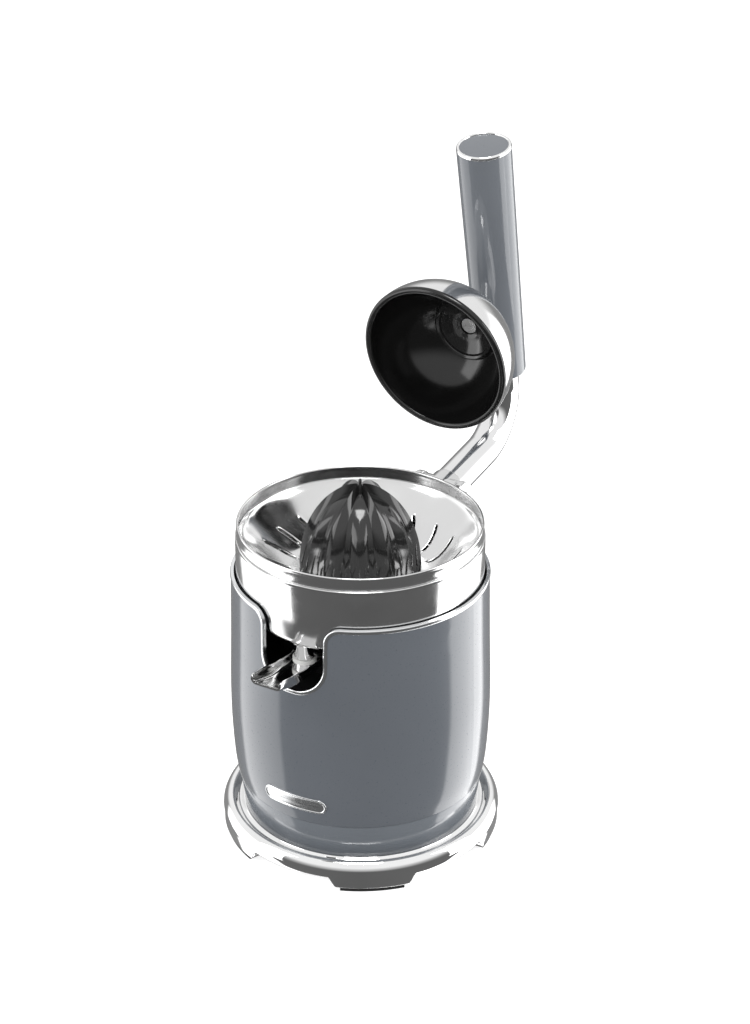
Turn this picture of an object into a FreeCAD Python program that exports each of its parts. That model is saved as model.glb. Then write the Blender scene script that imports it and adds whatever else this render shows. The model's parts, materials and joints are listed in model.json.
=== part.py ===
"""Citrus press juicer: a motor-driven reamer under a dome on a long folding press arm.

Frame: origin on the floor under the reamer's axis, +Z up, the juice spout towards -Y,
the press arm's hinge towards +Y. Millimetres. The arm is stored open.
"""
import FreeCAD, Part
import math
import os

V = FreeCAD.Vector
X_AXIS = V(1, 0, 0)
Y_AXIS = V(0, 1, 0)
Z_AXIS = V(0, 0, 1)

# ---- base and body ---------------------------------------------------------------------------
FOOT_COUNT = 5
FOOT_HALF_ANGLE = 15.0
FOOT_TOP_HALF_ANGLE = 18.5
PAD_HEIGHT = 3.0
BASE_R = 90.0
BASE_INNER_R = 70.0
BASE_UNDERSIDE_Z = 9.0
STRAP_Y = 68.5
STRAP_THICKNESS = 2.5
COLLAR_Z = 18.0
COLLAR_R = 76.0
SHELL_Z = 42.0
SHELL_TOP_Z = 184.5
SHELL_WALL = 2.0
SHELL_HEIGHTS_AND_RADII = [(SHELL_Z, 79.3), (50.0, 80.7), (65.0, 82.1), (95.0, 83.2), (132.0, 82.5),
                           (160.0, 81.9), (SHELL_TOP_Z, 81.5)]
TRIM_WIDTH = 2.6
TRIM_PROUD = 0.35
NOTCH_HALF_WIDTH = 21.4
NOTCH_Z = 137.5
NOTCH_TOP_FILLET = 10.5
NOTCH_BOTTOM_FILLET = 19.0
BADGE_Z = 56.0
BADGE_WIDTH = 45.0
BADGE_HEIGHT = 10.5
GLAND_X = 30.0
GLAND_Z = 60.0
GLAND_BORE_R = 3.6

# ---- inner deck, motor and gears -------------------------------------------------------------
DECK_Z = 161.6
DECK_STEP_R = 51.0
DECK_RECESS_Z = 131.0
DECK_OUTER_R = 78.6
DECK_COUNTERBORE = 0.6
COVER_Z = 11.0
COVER_R = 69.4
MOTOR_Z = 22.0
MOTOR_TOP_Z = 84.0
MOTOR_R = 33.0
FLANGE_Z = 87.0
GEARBOX_Z = 87.0
GEARBOX_FLOOR = 2.0
GEARBOX_R = 62.0
GEARBOX_COVER_Z = 126.0
MOTOR_SCREW_START = 26.0
RUNNING = 0.05

FIRST_MODULE = 1.0
SECOND_MODULE = 1.25
PINION_TEETH = 12
IDLER_TEETH = 42
IDLER_PINION_TEETH = 12
OUTPUT_TEETH = 44
IDLER_DISTANCE = SECOND_MODULE * (IDLER_PINION_TEETH + OUTPUT_TEETH) / 2
MOTOR_DISTANCE = FIRST_MODULE * (PINION_TEETH + IDLER_TEETH) / 2
MOTOR_BEARING_ANGLE = 130.0
IDLER_POS = V(IDLER_DISTANCE, 0, 0)
MOTOR_POS = IDLER_POS + V(MOTOR_DISTANCE * math.cos(math.radians(MOTOR_BEARING_ANGLE)),
                          MOTOR_DISTANCE * math.sin(math.radians(MOTOR_BEARING_ANGLE)), 0)
FIRST_GEAR_Z = 92.0
SECOND_GEAR_Z = 101.0
GEAR_FACE = 8.0
HUB_R = 9.0

# ---- drive spindle ---------------------------------------------------------------------------
SPINDLE_R = 5.0
SPINDLE_HEX_R = 5.6
SPINDLE_END_Z = 91.5
SPINDLE_TOP_Z = 203.0
PRESS_DISC_Z = 139.5
PRESS_DISC_R = 14.0
SPRING_Z = 114.2
SPRING_TOP_Z = 122.0

# ---- bowls and reamer ------------------------------------------------------------------------
COLLECTOR_R = 78.3
COLLECTOR_Z = 164.5
COLLECTOR_TOP_Z = 209.2
COLLECTOR_WALL = 1.4
OUTLET_Y = -66.0
OUTLET_Z = 153.6
RIM_R = 77.5
RIM_Z = 209.6
RIM_TOP_Z = 218.0
STRAINER_FLOOR_Z = 182.3
SLOT_COUNT = 24
SLOT_WIDTH = 1.9
CONE_Z = 185.0
CONE_TIP_Z = 247.0
CONE_RIBS = 12

# ---- spout -----------------------------------------------------------------------------------
SPOUT_PIVOT_Y = -56.0
SPOUT_PIVOT_Z = 149.5
SPOUT_HALF_WIDTH = 11.0
SPOUT_WALL = 1.2
LUG_R = 3.6

# ---- press arm -------------------------------------------------------------------------------
HINGE_Y = 100.0
HINGE_Z = 193.0
OPEN_ANGLE = 81.6
TUBE_R = 11.25
TUBE_WALL = 1.6
TUBE_START = 12.0
CORNER_RISE = 91.0
HANDLE_DROOP = 2.0
BEND_R = 35.0
GRIP_START = 46.0
GRIP_END = 213.0
GRIP_R_START = 16.4
GRIP_R_END = 17.75
EAR_GAP = 13.3
EAR_WALL = 5.2
EAR_R = 12.5
HINGE_PIN_R = 4.0
BUSH_R = 6.0
TUBE_END = GRIP_END - 8.0
STEM_R = 8.5
STEM_SPIGOT_R = 7.0
STEM_TOP_Z = 276.0
STEM_SCREW_R = 2.5
WASHER_R = 4.0
PRESS_CUP_WALL = 2.2
PRESS_CUP_BORE_R = 6.5
PRESS_RIB_R = 36.0
PRESS_RIB_HEIGHT = 3.4
DOME_R = 51.0
DOME_RIM_Z = 199.0
DOME_WALL = 1.2
LINER_WALL = 3.0
PRESS_CUP_R = 23.0


# ---- small helpers ---------------------------------------------------------------------------
def cylinder(radius, z0, z1, x=0.0, y=0.0):
    return Part.makeCylinder(radius, z1 - z0, V(x, y, z0), Z_AXIS)


def ring(outer, inner, z0, z1, x=0.0, y=0.0):
    return cylinder(outer, z0, z1, x, y).cut(cylinder(inner, z0 - 1, z1 + 1, x, y))


def block(x0, x1, y0, y1, z0, z1):
    return Part.makeBox(x1 - x0, y1 - y0, z1 - z0, V(x0, y0, z0))


def rod_x(radius, x0, x1, y, z):
    return Part.makeCylinder(radius, x1 - x0, V(x0, y, z), X_AXIS)


def rod_y(radius, y0, y1, x, z):
    return Part.makeCylinder(radius, y1 - y0, V(x, y0, z), Y_AXIS)


def turn_face(face):
    """Revolve a face in the XZ plane all the way round +Z, with its skin facing outwards."""
    solid = face.revolve(V(0, 0, 0), Z_AXIS, 360)
    if solid.Volume < 0:
        solid.reverse()
    return solid


def revolve(points):
    """Turn a closed outline of (radius, height) points about +Z."""
    corners = [V(r, 0, z) for r, z in points]
    return turn_face(Part.Face(Part.makePolygon(corners + [corners[0]])))


def revolve_edges(edges):
    return turn_face(Part.Face(Part.Wire(Part.__sortEdges__(edges))))


def line(a, b):
    return Part.makeLine(V(a[0], 0, a[1]), V(b[0], 0, b[1]))


def curve(points):
    spline = Part.BSplineCurve()
    spline.interpolate([V(r, 0, z) for r, z in points])
    return spline.toShape()


def arc(a, middle, b):
    return Part.Arc(V(a[0], 0, a[1]), V(middle[0], 0, middle[1]), V(b[0], 0, b[1])).toShape()


def turned(shape, angle, axis=Z_AXIS, about=V(0, 0, 0)):
    copy = shape.copy()
    copy.rotate(about, axis, angle)
    return copy


def around(shape, count, start=0.0):
    """Copies of a shape spaced evenly round +Z."""
    return [turned(shape, start + 360.0 * k / count) for k in range(count)]


def screw(x, y, z_head, length, radius=1.6, down=True):
    """A pan-head screw along Z with its head's seat at z_head."""
    way = -1 if down else 1
    head = Part.makeCylinder(radius * 1.9, 1.8, V(x, y, z_head), V(0, 0, -way))
    shank = Part.makeCylinder(radius, length, V(x, y, z_head), V(0, 0, way))
    return head.fuse(shank)


def export(name, shape):
    """Write one node; identical or related separate pieces share it as a group of solids."""
    pieces = shape if isinstance(shape, list) else [shape]
    solids = []
    for piece in pieces:
        solids += piece.removeSplitter().Solids
    result = solids[0] if len(solids) == 1 else Part.makeCompound(solids)
    volumes = [round(solid.Volume / 1000, 2) for solid in solids]
    print(name, "ok" if result.isValid() and solids else "INVALID", len(solids), "cm3:", volumes[:3])
    if solids:
        result.exportStep("parts/" + name + ".step")


# ---- base ------------------------------------------------------------------------------------
def foot_angles():
    return [36.0 + 72.0 * k for k in range(FOOT_COUNT)]


def sector(inner, outer, half_angle, z0, z1):
    """A piece of a ring that spans half_angle each side of the -Y direction."""
    half = math.radians(half_angle)
    far = outer * 1.6
    fan = Part.makePolygon([V(0, 0, z0), V(-far * math.sin(half), -far * math.cos(half), z0),
                            V(far * math.sin(half), -far * math.cos(half), z0), V(0, 0, z0)])
    return Part.Face(fan).extrude(V(0, 0, z1 - z0)).common(ring(outer, inner, z0, z1))


def foot(inner, outer, z0, z1):
    """A foot that narrows towards the floor: a loft between two flat sectors, cut round."""
    def fan(half_angle, z):
        half = math.radians(half_angle)
        near, far = inner * 0.8, outer * 1.3
        points = [V(-near * math.sin(half), -near * math.cos(half), z),
                  V(-far * math.sin(half), -far * math.cos(half), z),
                  V(far * math.sin(half), -far * math.cos(half), z),
                  V(near * math.sin(half), -near * math.cos(half), z)]
        return Part.makePolygon(points + [points[0]])
    wedge = Part.makeLoft([fan(FOOT_HALF_ANGLE, z0), fan(FOOT_TOP_HALF_ANGLE, z1)], True, True)
    return wedge.common(ring(outer, inner, z0, z1))


def base_ring():
    groove_r, groove_z = 79.5, 16.4
    crest_r, crest_z = 84.5, 20.6
    edges = [line((BASE_INNER_R, BASE_UNDERSIDE_Z), (BASE_INNER_R, COLLAR_Z)),
             line((BASE_INNER_R, COLLAR_Z), (COLLAR_R + 0.6, COLLAR_Z)),
             curve([(COLLAR_R + 0.6, COLLAR_Z), (groove_r, groove_z), (81.5, 18.6), (crest_r, crest_z),
                    (88.2, 18.2), (BASE_R, 13.5), (BASE_R - 0.4, BASE_UNDERSIDE_Z)]),
             line((BASE_R - 0.4, BASE_UNDERSIDE_Z), (BASE_INNER_R, BASE_UNDERSIDE_Z))]
    body = revolve_edges(edges)
    ledge = ring(BASE_INNER_R + 1, COVER_R - 5.4, COVER_Z + 3.2, COLLAR_Z)
    body = body.fuse(ledge)
    leg = foot(77.0, BASE_R - 0.5, PAD_HEIGHT - 0.5, BASE_UNDERSIDE_Z + 1.5)
    pocket = turned_pad(0.15, PAD_HEIGHT + 1.0)
    leg = leg.cut(pocket)
    for angle in foot_angles():
        body = body.fuse(turned(leg, angle))
    for x, y in screw_circle(66.6, 4, 45):
        body = body.cut(cylinder(1.6, COVER_Z, COLLAR_Z - 1, x, y))
    return body


def turned_pad(gap, top):
    return sector(79.0 - gap, 88.2 + gap, FOOT_HALF_ANGLE - 1.6 + gap, 0, top)


def foot_pads():
    pad = turned_pad(0, PAD_HEIGHT + 1.0)
    return [turned(pad, angle) for angle in foot_angles()]


def screw_circle(radius, count, start):
    angles = [math.radians(start + 360.0 * k / count) for k in range(count)]
    return [(radius * math.cos(a), radius * math.sin(a)) for a in angles]


def bottom_cover():
    plate = cylinder(COVER_R, COVER_Z, COVER_Z + 3.0)
    for x, y in screw_circle(66.6, 4, 45):
        plate = plate.cut(cylinder(1.7, COVER_Z - 1, COVER_Z + 4, x, y))
    vent = block(-1.6, 1.6, 22, 48, COVER_Z - 1, COVER_Z + 4)
    for slot in around(vent, 12, 15):
        plate = plate.cut(slot)
    return plate


def bottom_screws():
    return [screw(x, y, COVER_Z, 5.6, down=False) for x, y in screw_circle(66.6, 4, 45)]


def base_collar():
    wall = 2.6
    outer = [(COLLAR_R, COLLAR_Z), (76.6, 26.0), (77.8, 35.0), (78.7, SHELL_Z - 0.4)]
    inner = [(r - wall, z) for r, z in reversed(outer)]
    shelf = ring(78.2, 73.0, SHELL_Z - 3.0, SHELL_Z - 0.4)
    spigot = ring(76.9, 74.4, SHELL_Z - 2.0, SHELL_Z + 5.0)
    return revolve(outer + inner).fuse(shelf).fuse(spigot)


# ---- outer shell -----------------------------------------------------------------------------
def barrel(grow):
    """The solid inside the shell's outer surface, moved out by grow."""
    outside = [(r + grow, z) for z, r in SHELL_HEIGHTS_AND_RADII]
    return revolve_edges([curve(outside), line(outside[-1], (0, SHELL_TOP_Z)),
                          line((0, SHELL_TOP_Z), (0, SHELL_Z)), line((0, SHELL_Z), outside[0])])


def shell_skin(grow, wall):
    """The barrel's wall, moved out by grow."""
    return barrel(grow).cut(barrel(grow - wall))


def opening(grow):
    """Everything above the shell's top edge and inside its notch, wider by grow all round."""
    half = NOTCH_HALF_WIDTH + grow
    low = NOTCH_Z - grow
    top = SHELL_TOP_Z - grow
    upper = NOTCH_TOP_FILLET - grow
    lower = NOTCH_BOTTOM_FILLET + grow
    far, sky = 110.0, SHELL_TOP_Z + 40
    diagonal = math.sqrt(0.5)

    def side(way):
        corner = V(way * (half + upper), -far, top - upper)
        elbow = V(way * (half - lower), -far, low + lower)
        over = Part.Arc(V(way * (half + upper), -far, top),
                        corner + V(-way * upper * diagonal, 0, upper * diagonal),
                        V(way * half, -far, top - upper))
        under = Part.Arc(V(way * half, -far, low + lower),
                         elbow + V(way * lower * diagonal, 0, -lower * diagonal),
                         V(way * (half - lower), -far, low))
        return over, under
    edges = []
    for way in (-1, 1):
        over, under = side(way)
        edges += [over.toShape(), under.toShape()]
        edges.append(Part.makeLine(V(way * half, -far, top - upper), V(way * half, -far, low + lower)))
        edges.append(Part.makeLine(V(way * far, -far, top), V(way * (half + upper), -far, top)))
        edges.append(Part.makeLine(V(way * far, -far, top), V(way * far, -far, sky)))
    edges.append(Part.makeLine(V(-(half - lower), -far, low), V(half - lower, -far, low)))
    edges.append(Part.makeLine(V(-far, -far, sky), V(far, -far, sky)))
    front = Part.Face(Part.Wire(Part.__sortEdges__(edges))).extrude(V(0, far, 0))
    return front.fuse(block(-far, far, 0, far, top, sky))


def outer_shell():
    shell = shell_skin(0, SHELL_WALL).cut(opening(TRIM_WIDTH))
    shell = shell.fuse(ring(79.2, 77.2, SHELL_Z, SHELL_Z + 4.0))
    for x, z in bracket_screw_places():
        shell = shell.cut(rod_y(2.3, 60, 100, x, z))
    return shell.cut(rod_y(5.9, 60, 100, GLAND_X, GLAND_Z))


def shell_trim():
    band = shell_skin(TRIM_PROUD, SHELL_WALL + TRIM_PROUD)
    return band.common(opening(TRIM_WIDTH)).cut(opening(0))


def badge_plate():
    reach = BADGE_WIDTH / 2 - BADGE_HEIGHT / 2
    pill = block(-reach, reach, -90, -60, BADGE_Z - BADGE_HEIGHT / 2, BADGE_Z + BADGE_HEIGHT / 2)
    for x in (-reach, reach):
        pill = pill.fuse(rod_y(BADGE_HEIGHT / 2, -90, -60, x, BADGE_Z))
    return shell_skin(0.9, 0.9).common(pill)


# ---- rear bracket and frame ------------------------------------------------------------------
def bracket_screw_places():
    return [(x, z) for x in (-11.0, 11.0) for z in (102.0, 122.0)]


def hinge_bracket():
    """A block that hugs the back of the shell and carries two ears for the hinge pin."""
    half = EAR_GAP + EAR_WALL
    profile = [V(-half, 70, 92), V(-half, 98, 92), V(-half, 108, 110), V(-half, HINGE_Y + EAR_R, HINGE_Z),
               V(-half, HINGE_Y - EAR_R, HINGE_Z), V(-half, HINGE_Y - EAR_R, 178), V(-half, 70, 178)]
    body = Part.Face(Part.makePolygon(profile + [profile[0]])).extrude(V(2 * half, 0, 0))
    body = body.fuse(rod_x(EAR_R, -half, half, HINGE_Y, HINGE_Z))
    body = body.cut(block(-EAR_GAP, EAR_GAP, 70, 130, 178.6, 230))
    body = body.cut(barrel(0.02)).cut(cylinder(78, 80, 200))
    body = body.cut(rod_x(HINGE_PIN_R, -half, half, HINGE_Y, HINGE_Z))
    for x, z in bracket_screw_places():
        body = body.cut(rod_y(2.0, 60, 96, x, z))
    return body


def hinge_pin():
    half = EAR_GAP + EAR_WALL
    head = rod_x(HINGE_PIN_R + 2.2, half, half + 2.0, HINGE_Y, HINGE_Z)
    groove_at = -half - 1.6
    groove = rod_x(HINGE_PIN_R, groove_at, groove_at + 1.2, HINGE_Y, HINGE_Z)
    groove = groove.cut(rod_x(HINGE_PIN_R - 0.8, groove_at, groove_at + 1.2, HINGE_Y, HINGE_Z))
    return rod_x(HINGE_PIN_R, -half - 3, half, HINGE_Y, HINGE_Z).fuse(head).cut(groove)


def hinge_pin_clip():
    at = -(EAR_GAP + EAR_WALL) - 1.5
    clip = rod_x(HINGE_PIN_R + 2.4, at, at + 1.0, HINGE_Y, HINGE_Z)
    clip = clip.cut(rod_x(HINGE_PIN_R - 0.8, at - 1, at + 2, HINGE_Y, HINGE_Z))
    return clip.cut(block(at - 1, at + 2, HINGE_Y - 2.4, HINGE_Y + 2.4, HINGE_Z - 9, HINGE_Z - 1))


def rear_frame():
    """A steel strap inside the shell, with spacers, that ties the hinge bracket to the gearbox."""
    strap = block(-15, 15, STRAP_Y, STRAP_Y + STRAP_THICKNESS, COLLAR_Z + 4, 128)
    tongue = block(-12, 12, GEARBOX_R - 1.2, STRAP_Y + 1, GEARBOX_Z - 4, GEARBOX_Z - 1)
    strap = strap.fuse(tongue)
    for x, z in bracket_screw_places():
        spacer = rod_y(4.5, STRAP_Y + 1, 90, x, z).common(barrel(-SHELL_WALL))
        strap = strap.fuse(spacer).cut(rod_y(2.3, 60, 90, x, z))
    return strap


def bracket_screws():
    screws = []
    for x, z in bracket_screw_places():
        screws.append(rod_y(3.6, STRAP_Y - 2.4, STRAP_Y, x, z).fuse(rod_y(2.0, STRAP_Y - 1, 95, x, z)))
    return screws


# ---- inner deck ------------------------------------------------------------------------------
def deck_screw_places():
    return screw_circle(42.0, 3, 90)


def top_deck():
    wall = 2.5
    profile = [(9.0, 144.0), (14.0, 144.0), (14.0, DECK_Z), (DECK_STEP_R - wall, DECK_Z),
               (DECK_STEP_R - wall, DECK_RECESS_Z), (DECK_OUTER_R, DECK_RECESS_Z),
               (DECK_OUTER_R, DECK_RECESS_Z + wall), (DECK_STEP_R, DECK_RECESS_Z + wall),
               (DECK_STEP_R, DECK_Z + wall), (9.0, DECK_Z + wall)]
    deck = revolve(profile)
    seat = DECK_Z + DECK_COUNTERBORE
    for x, y in deck_screw_places():
        post = cylinder(3.6, GEARBOX_COVER_Z + 2.5, DECK_Z + 0.1, x, y)
        deck = deck.fuse(post).cut(cylinder(1.6, GEARBOX_COVER_Z, DECK_Z + 3, x, y))
        deck = deck.cut(cylinder(3.4, seat, DECK_Z + 4, x, y))
    return deck


def deck_screws():
    return [screw(x, y, DECK_Z + DECK_COUNTERBORE, 40.0) for x, y in deck_screw_places()]


def spindle_bush():
    return ring(9.0, SPINDLE_R + RUNNING, 144.0, DECK_Z + 2.5)


def shaft_seal():
    seat = DECK_Z + 2.5
    return revolve([(SPINDLE_R + 0.08, seat), (8.6, seat), (8.6, seat + 2.2), (6.6, seat + 2.6),
                    (SPINDLE_R + 0.08, seat + 4.2)])


# ---- motor -----------------------------------------------------------------------------------
def at_motor(shape):
    copy = shape.copy()
    copy.translate(MOTOR_POS)
    return copy


def motor_can():
    inside = cylinder(MOTOR_R - 1.5, MOTOR_Z + 1.5, MOTOR_TOP_Z + 1)
    can = cylinder(MOTOR_R, MOTOR_Z, MOTOR_TOP_Z).cut(inside)
    boss = cylinder(10.5, MOTOR_Z - 4, MOTOR_Z + 1)
    can = can.fuse(boss).cut(cylinder(8.0, MOTOR_Z - 2.5, MOTOR_Z + 9))
    slot = block(-3, 3, 15, 27, MOTOR_Z - 1, MOTOR_Z + 3)
    for vent in around(slot, 8):
        can = can.cut(vent)
    return at_motor(can)


def stator_stack():
    stack = ring(MOTOR_R - 1.6, 21.0, 40, 68)
    slot = block(-3.2, 3.2, 19, 27, 39, 69)
    for gap in around(slot, 12):
        stack = stack.cut(gap)
    return at_motor(stack)


def stator_windings():
    ends = []
    for z in (34.5, 68.2):
        ends.append(at_motor(ring(30.0, 22.0, z, z + 5.3)))
    return ends


def motor_bushes():
    lower = ring(8.0, 4.0 + RUNNING, MOTOR_Z - 2.5, MOTOR_Z + 4)
    upper = ring(8.0, 4.0 + RUNNING, MOTOR_TOP_Z - 3, FLANGE_Z - 0.8)
    return [at_motor(lower), at_motor(upper)]


def motor_screw_places():
    return [(MOTOR_POS.x + x, MOTOR_POS.y + y) for x, y in screw_circle(25.0, 3, MOTOR_SCREW_START)]


def motor_flange():
    plate = cylinder(MOTOR_R, MOTOR_TOP_Z, FLANGE_Z).fuse(cylinder(10.5, MOTOR_TOP_Z - 3, MOTOR_TOP_Z))
    plate = at_motor(plate.cut(cylinder(8.0, MOTOR_TOP_Z - 4, FLANGE_Z - 0.8)).cut(cylinder(4.6, 80, 90)))
    for x, y in motor_screw_places():
        plate = plate.cut(cylinder(2.0, MOTOR_TOP_Z - 4, FLANGE_Z + 1, x, y))
    return plate


def motor_screws():
    seat = GEARBOX_Z + GEARBOX_FLOOR
    return [screw(x, y, seat, 4.8, radius=2.0) for x, y in motor_screw_places()]


def rotor_core():
    core = cylinder(20.4, 40, 68)
    slot = block(-1.2, 1.2, 13, 22, 39, 69)
    for gap in around(slot, 14, 8):
        core = core.cut(gap)
    core = core.fuse(cylinder(12.0, 68, 72)).fuse(cylinder(12.0, 36, 40))
    core = core.fuse(cylinder(9.5, 27.5, 36))
    return at_motor(core.cut(cylinder(4.0, 20, 80)))


def rotor_shaft():
    thick = cylinder(4.0, MOTOR_Z - 1.5, FLANGE_Z - 0.3)
    thin = cylinder(3.0, FLANGE_Z - 1.0, FIRST_GEAR_Z + GEAR_FACE + 0.3)
    return at_motor(thick.fuse(thin))


# ---- gears -----------------------------------------------------------------------------------
def gear(teeth, module, z0, z1, bore, phase):
    """An involute spur gear with a tooth centred at the phase angle in degrees."""
    pressure = math.radians(20)
    pitch_r = module * teeth / 2
    base_r = pitch_r * math.cos(pressure)
    tip_r = pitch_r + 0.92 * module
    root_r = pitch_r - 1.2 * module
    half_pitch_angle = math.pi / (2 * teeth) * 0.93

    def involute(angle):
        return math.tan(angle) - angle

    def half_angle(radius):
        roll = math.acos(min(1.0, base_r / radius))
        return half_pitch_angle + involute(pressure) - involute(roll)
    start_r = max(base_r, root_r)
    steps = 4
    radii = [start_r + (tip_r - start_r) * k / steps for k in range(steps + 1)]
    points = []
    for tooth in range(teeth):
        middle = math.radians(phase) + 2 * math.pi * tooth / teeth
        flank = [(root_r, half_angle(start_r))] if root_r < start_r else []
        flank += [(r, half_angle(r)) for r in radii]
        for radius, half in flank:
            points.append(V(radius * math.cos(middle - half), radius * math.sin(middle - half), z0))
        for radius, half in reversed(flank):
            points.append(V(radius * math.cos(middle + half), radius * math.sin(middle + half), z0))
    blank = Part.Face(Part.makePolygon(points + [points[0]])).extrude(V(0, 0, z1 - z0))
    return blank.cut(cylinder(bore, z0 - 1, z1 + 1)) if bore else blank


def hexagon(radius, z0, z1):
    points = [V(radius * math.cos(math.radians(60 * k)), radius * math.sin(math.radians(60 * k)), z0)
              for k in range(6)]
    return Part.Face(Part.makePolygon(points + [points[0]])).extrude(V(0, 0, z1 - z0))


def motor_pinion():
    phase = MOTOR_BEARING_ANGLE + 180 + 180.0 / PINION_TEETH
    low, top = FIRST_GEAR_Z - 0.5, FIRST_GEAR_Z + GEAR_FACE + 0.5
    return at_motor(gear(PINION_TEETH, FIRST_MODULE, low, top, 3.0, phase))


def idler_gear():
    top = FIRST_GEAR_Z + GEAR_FACE - 1
    wheel = gear(IDLER_TEETH, FIRST_MODULE, FIRST_GEAR_Z, top, 0, MOTOR_BEARING_ANGLE)
    pinion = gear(IDLER_PINION_TEETH, SECOND_MODULE, FIRST_GEAR_Z + 6, SECOND_GEAR_Z + 11, 0, 180)
    hub = cylinder(6.0, GEARBOX_Z + GEARBOX_FLOOR + 0.3, FIRST_GEAR_Z)
    both = wheel.fuse(pinion).fuse(hub).cut(cylinder(3.0 + RUNNING, 80, 130))
    for hole in around(cylinder(3.2, 90, 110, 13.8, 0), 6, 30):
        both = both.cut(hole)
    both.translate(IDLER_POS)
    return both


def idler_axle():
    return cylinder(3.0, GEARBOX_Z, GEARBOX_COVER_Z + 2.5, IDLER_POS.x, IDLER_POS.y)


def output_gear():
    phase = 180.0 / OUTPUT_TEETH
    wheel = gear(OUTPUT_TEETH, SECOND_MODULE, SECOND_GEAR_Z, SECOND_GEAR_Z + GEAR_FACE + 1.5, 0, phase)
    web = ring(23.0, 12.0, SECOND_GEAR_Z + 6.5, SECOND_GEAR_Z + 12)
    hub = cylinder(HUB_R, 95.0, SPRING_Z)
    return wheel.cut(web).fuse(hub).cut(hexagon(SPINDLE_HEX_R + 0.07, 90, 120))


def output_bush():
    return ring(11.4, HUB_R + RUNNING, GEARBOX_Z + GEARBOX_FLOOR, SECOND_GEAR_Z - 0.2)


def return_spring():
    """A helical spring between the output gear's hub and the spindle's collar."""
    wire_r, coil_r, turns = 0.6, 7.4, 3.0
    height = SPRING_TOP_Z - SPRING_Z - 2 * wire_r - 0.2
    helix = Part.makeHelix(height / turns, height, coil_r)
    profile = Part.Wire(Part.makeCircle(wire_r, V(coil_r, 0, 0), Y_AXIS))
    coil = helix.makePipeShell([profile], True, True)
    coil.translate(V(0, 0, SPRING_Z + wire_r + 0.1))
    return coil


# ---- gearbox ---------------------------------------------------------------------------------
def gearbox_screw_places():
    return screw_circle(56.5, 4, 45)


def gearbox_housing():
    inner_r = GEARBOX_R - 2.5
    tray = ring(GEARBOX_R, inner_r, GEARBOX_Z, GEARBOX_COVER_Z).fuse(
        cylinder(GEARBOX_R, GEARBOX_Z, GEARBOX_Z + GEARBOX_FLOOR))
    for x, y in gearbox_screw_places():
        tray = tray.fuse(cylinder(3.6, GEARBOX_Z, GEARBOX_COVER_Z, x, y))
    for x, y in gearbox_screw_places():
        tray = tray.cut(cylinder(1.6, GEARBOX_COVER_Z - 14, GEARBOX_COVER_Z + 1, x, y))
    for x, y in motor_screw_places():
        tray = tray.cut(cylinder(2.0, GEARBOX_Z - 1, GEARBOX_Z + 4, x, y))
    tray = tray.cut(at_motor(cylinder(4.6, 80, 95)))
    legs = []
    for x, y in screw_circle(57.0, 3, 100):
        legs.append(cylinder(4.2, COVER_Z + 3.0, GEARBOX_Z + 0.5, x, y))
    for leg in legs:
        tray = tray.fuse(leg)
    return tray.cut(cylinder(3.0, GEARBOX_Z - 1, GEARBOX_Z + 4, IDLER_POS.x, IDLER_POS.y))


def gearbox_cover():
    cover = cylinder(GEARBOX_R, GEARBOX_COVER_Z, GEARBOX_COVER_Z + 2.5).cut(cylinder(12.0, 120, 135))
    for x, y in gearbox_screw_places():
        cover = cover.cut(cylinder(1.7, 120, 135, x, y))
    for x, y in deck_screw_places():
        cover = cover.cut(cylinder(1.6, 120, 135, x, y))
    return cover.cut(cylinder(3.0, 120, 135, IDLER_POS.x, IDLER_POS.y))


def gearbox_screws():
    return [screw(x, y, GEARBOX_COVER_Z + 2.5, 12.0) for x, y in gearbox_screw_places()]


# ---- switch ----------------------------------------------------------------------------------
SWITCH_X = 17.5
SWITCH_Z = GEARBOX_COVER_Z + 2.5
PLUNGER_X = PRESS_DISC_R - 2.5


def microswitch():
    body = block(PLUNGER_X - 3.2, PLUNGER_X + 16.6, -3.2, 3.2, SWITCH_Z, SWITCH_Z + 8.0)
    body = body.cut(cylinder(1.5 + RUNNING, SWITCH_Z + 2.0, SWITCH_Z + 9, PLUNGER_X, 0))
    for x in (PLUNGER_X + 5.0, PLUNGER_X + 13.0):
        body = body.fuse(block(x - 0.4, x + 0.4, 3.2, 9.0, SWITCH_Z + 2.5, SWITCH_Z + 6.5))
    return body


def switch_plunger():
    return cylinder(1.5, SWITCH_Z + 5.0, PRESS_DISC_Z - 0.15, PLUNGER_X, 0)


def terminal_block():
    base = block(-44, -24, 30, 40, COVER_Z + 3.0, COVER_Z + 14)
    for x in (-39, -34, -29):
        base = base.cut(cylinder(1.8, COVER_Z + 8, COVER_Z + 20, x, 35))
    return base


def cord_gland():
    """A round inlet gland through the shell's back, with no cord in it."""
    x, z = GLAND_X, GLAND_Z
    barrel_tube = rod_y(5.9, 63, 84, x, z)
    flange = rod_y(8.0, 66, 84.5, x, z).cut(barrel(0))
    nut = rod_y(8.0, 64.5, 84, x, z).common(barrel(-SHELL_WALL))
    gland = barrel_tube.fuse(flange).fuse(nut)
    return gland.cut(rod_y(GLAND_BORE_R, 60, 100, x, z))


# ---- drive spindle ---------------------------------------------------------------------------
def drive_spindle():
    lower = hexagon(SPINDLE_HEX_R, SPINDLE_END_Z, SPRING_TOP_Z + 1)
    lower = lower.cut(cylinder(20, 93.2, 94.8).cut(cylinder(3.6, 93, 95)))
    collar = cylinder(8.6, SPRING_TOP_Z, SPRING_TOP_Z + 2.5)
    shaft = cylinder(SPINDLE_R, SPRING_TOP_Z, CONE_Z - 2)
    disc = cylinder(PRESS_DISC_R, PRESS_DISC_Z, PRESS_DISC_Z + 2)
    drive = hexagon(SPINDLE_R, CONE_Z - 2, SPINDLE_TOP_Z)
    return lower.fuse(collar).fuse(shaft).fuse(disc).fuse(drive)


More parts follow.
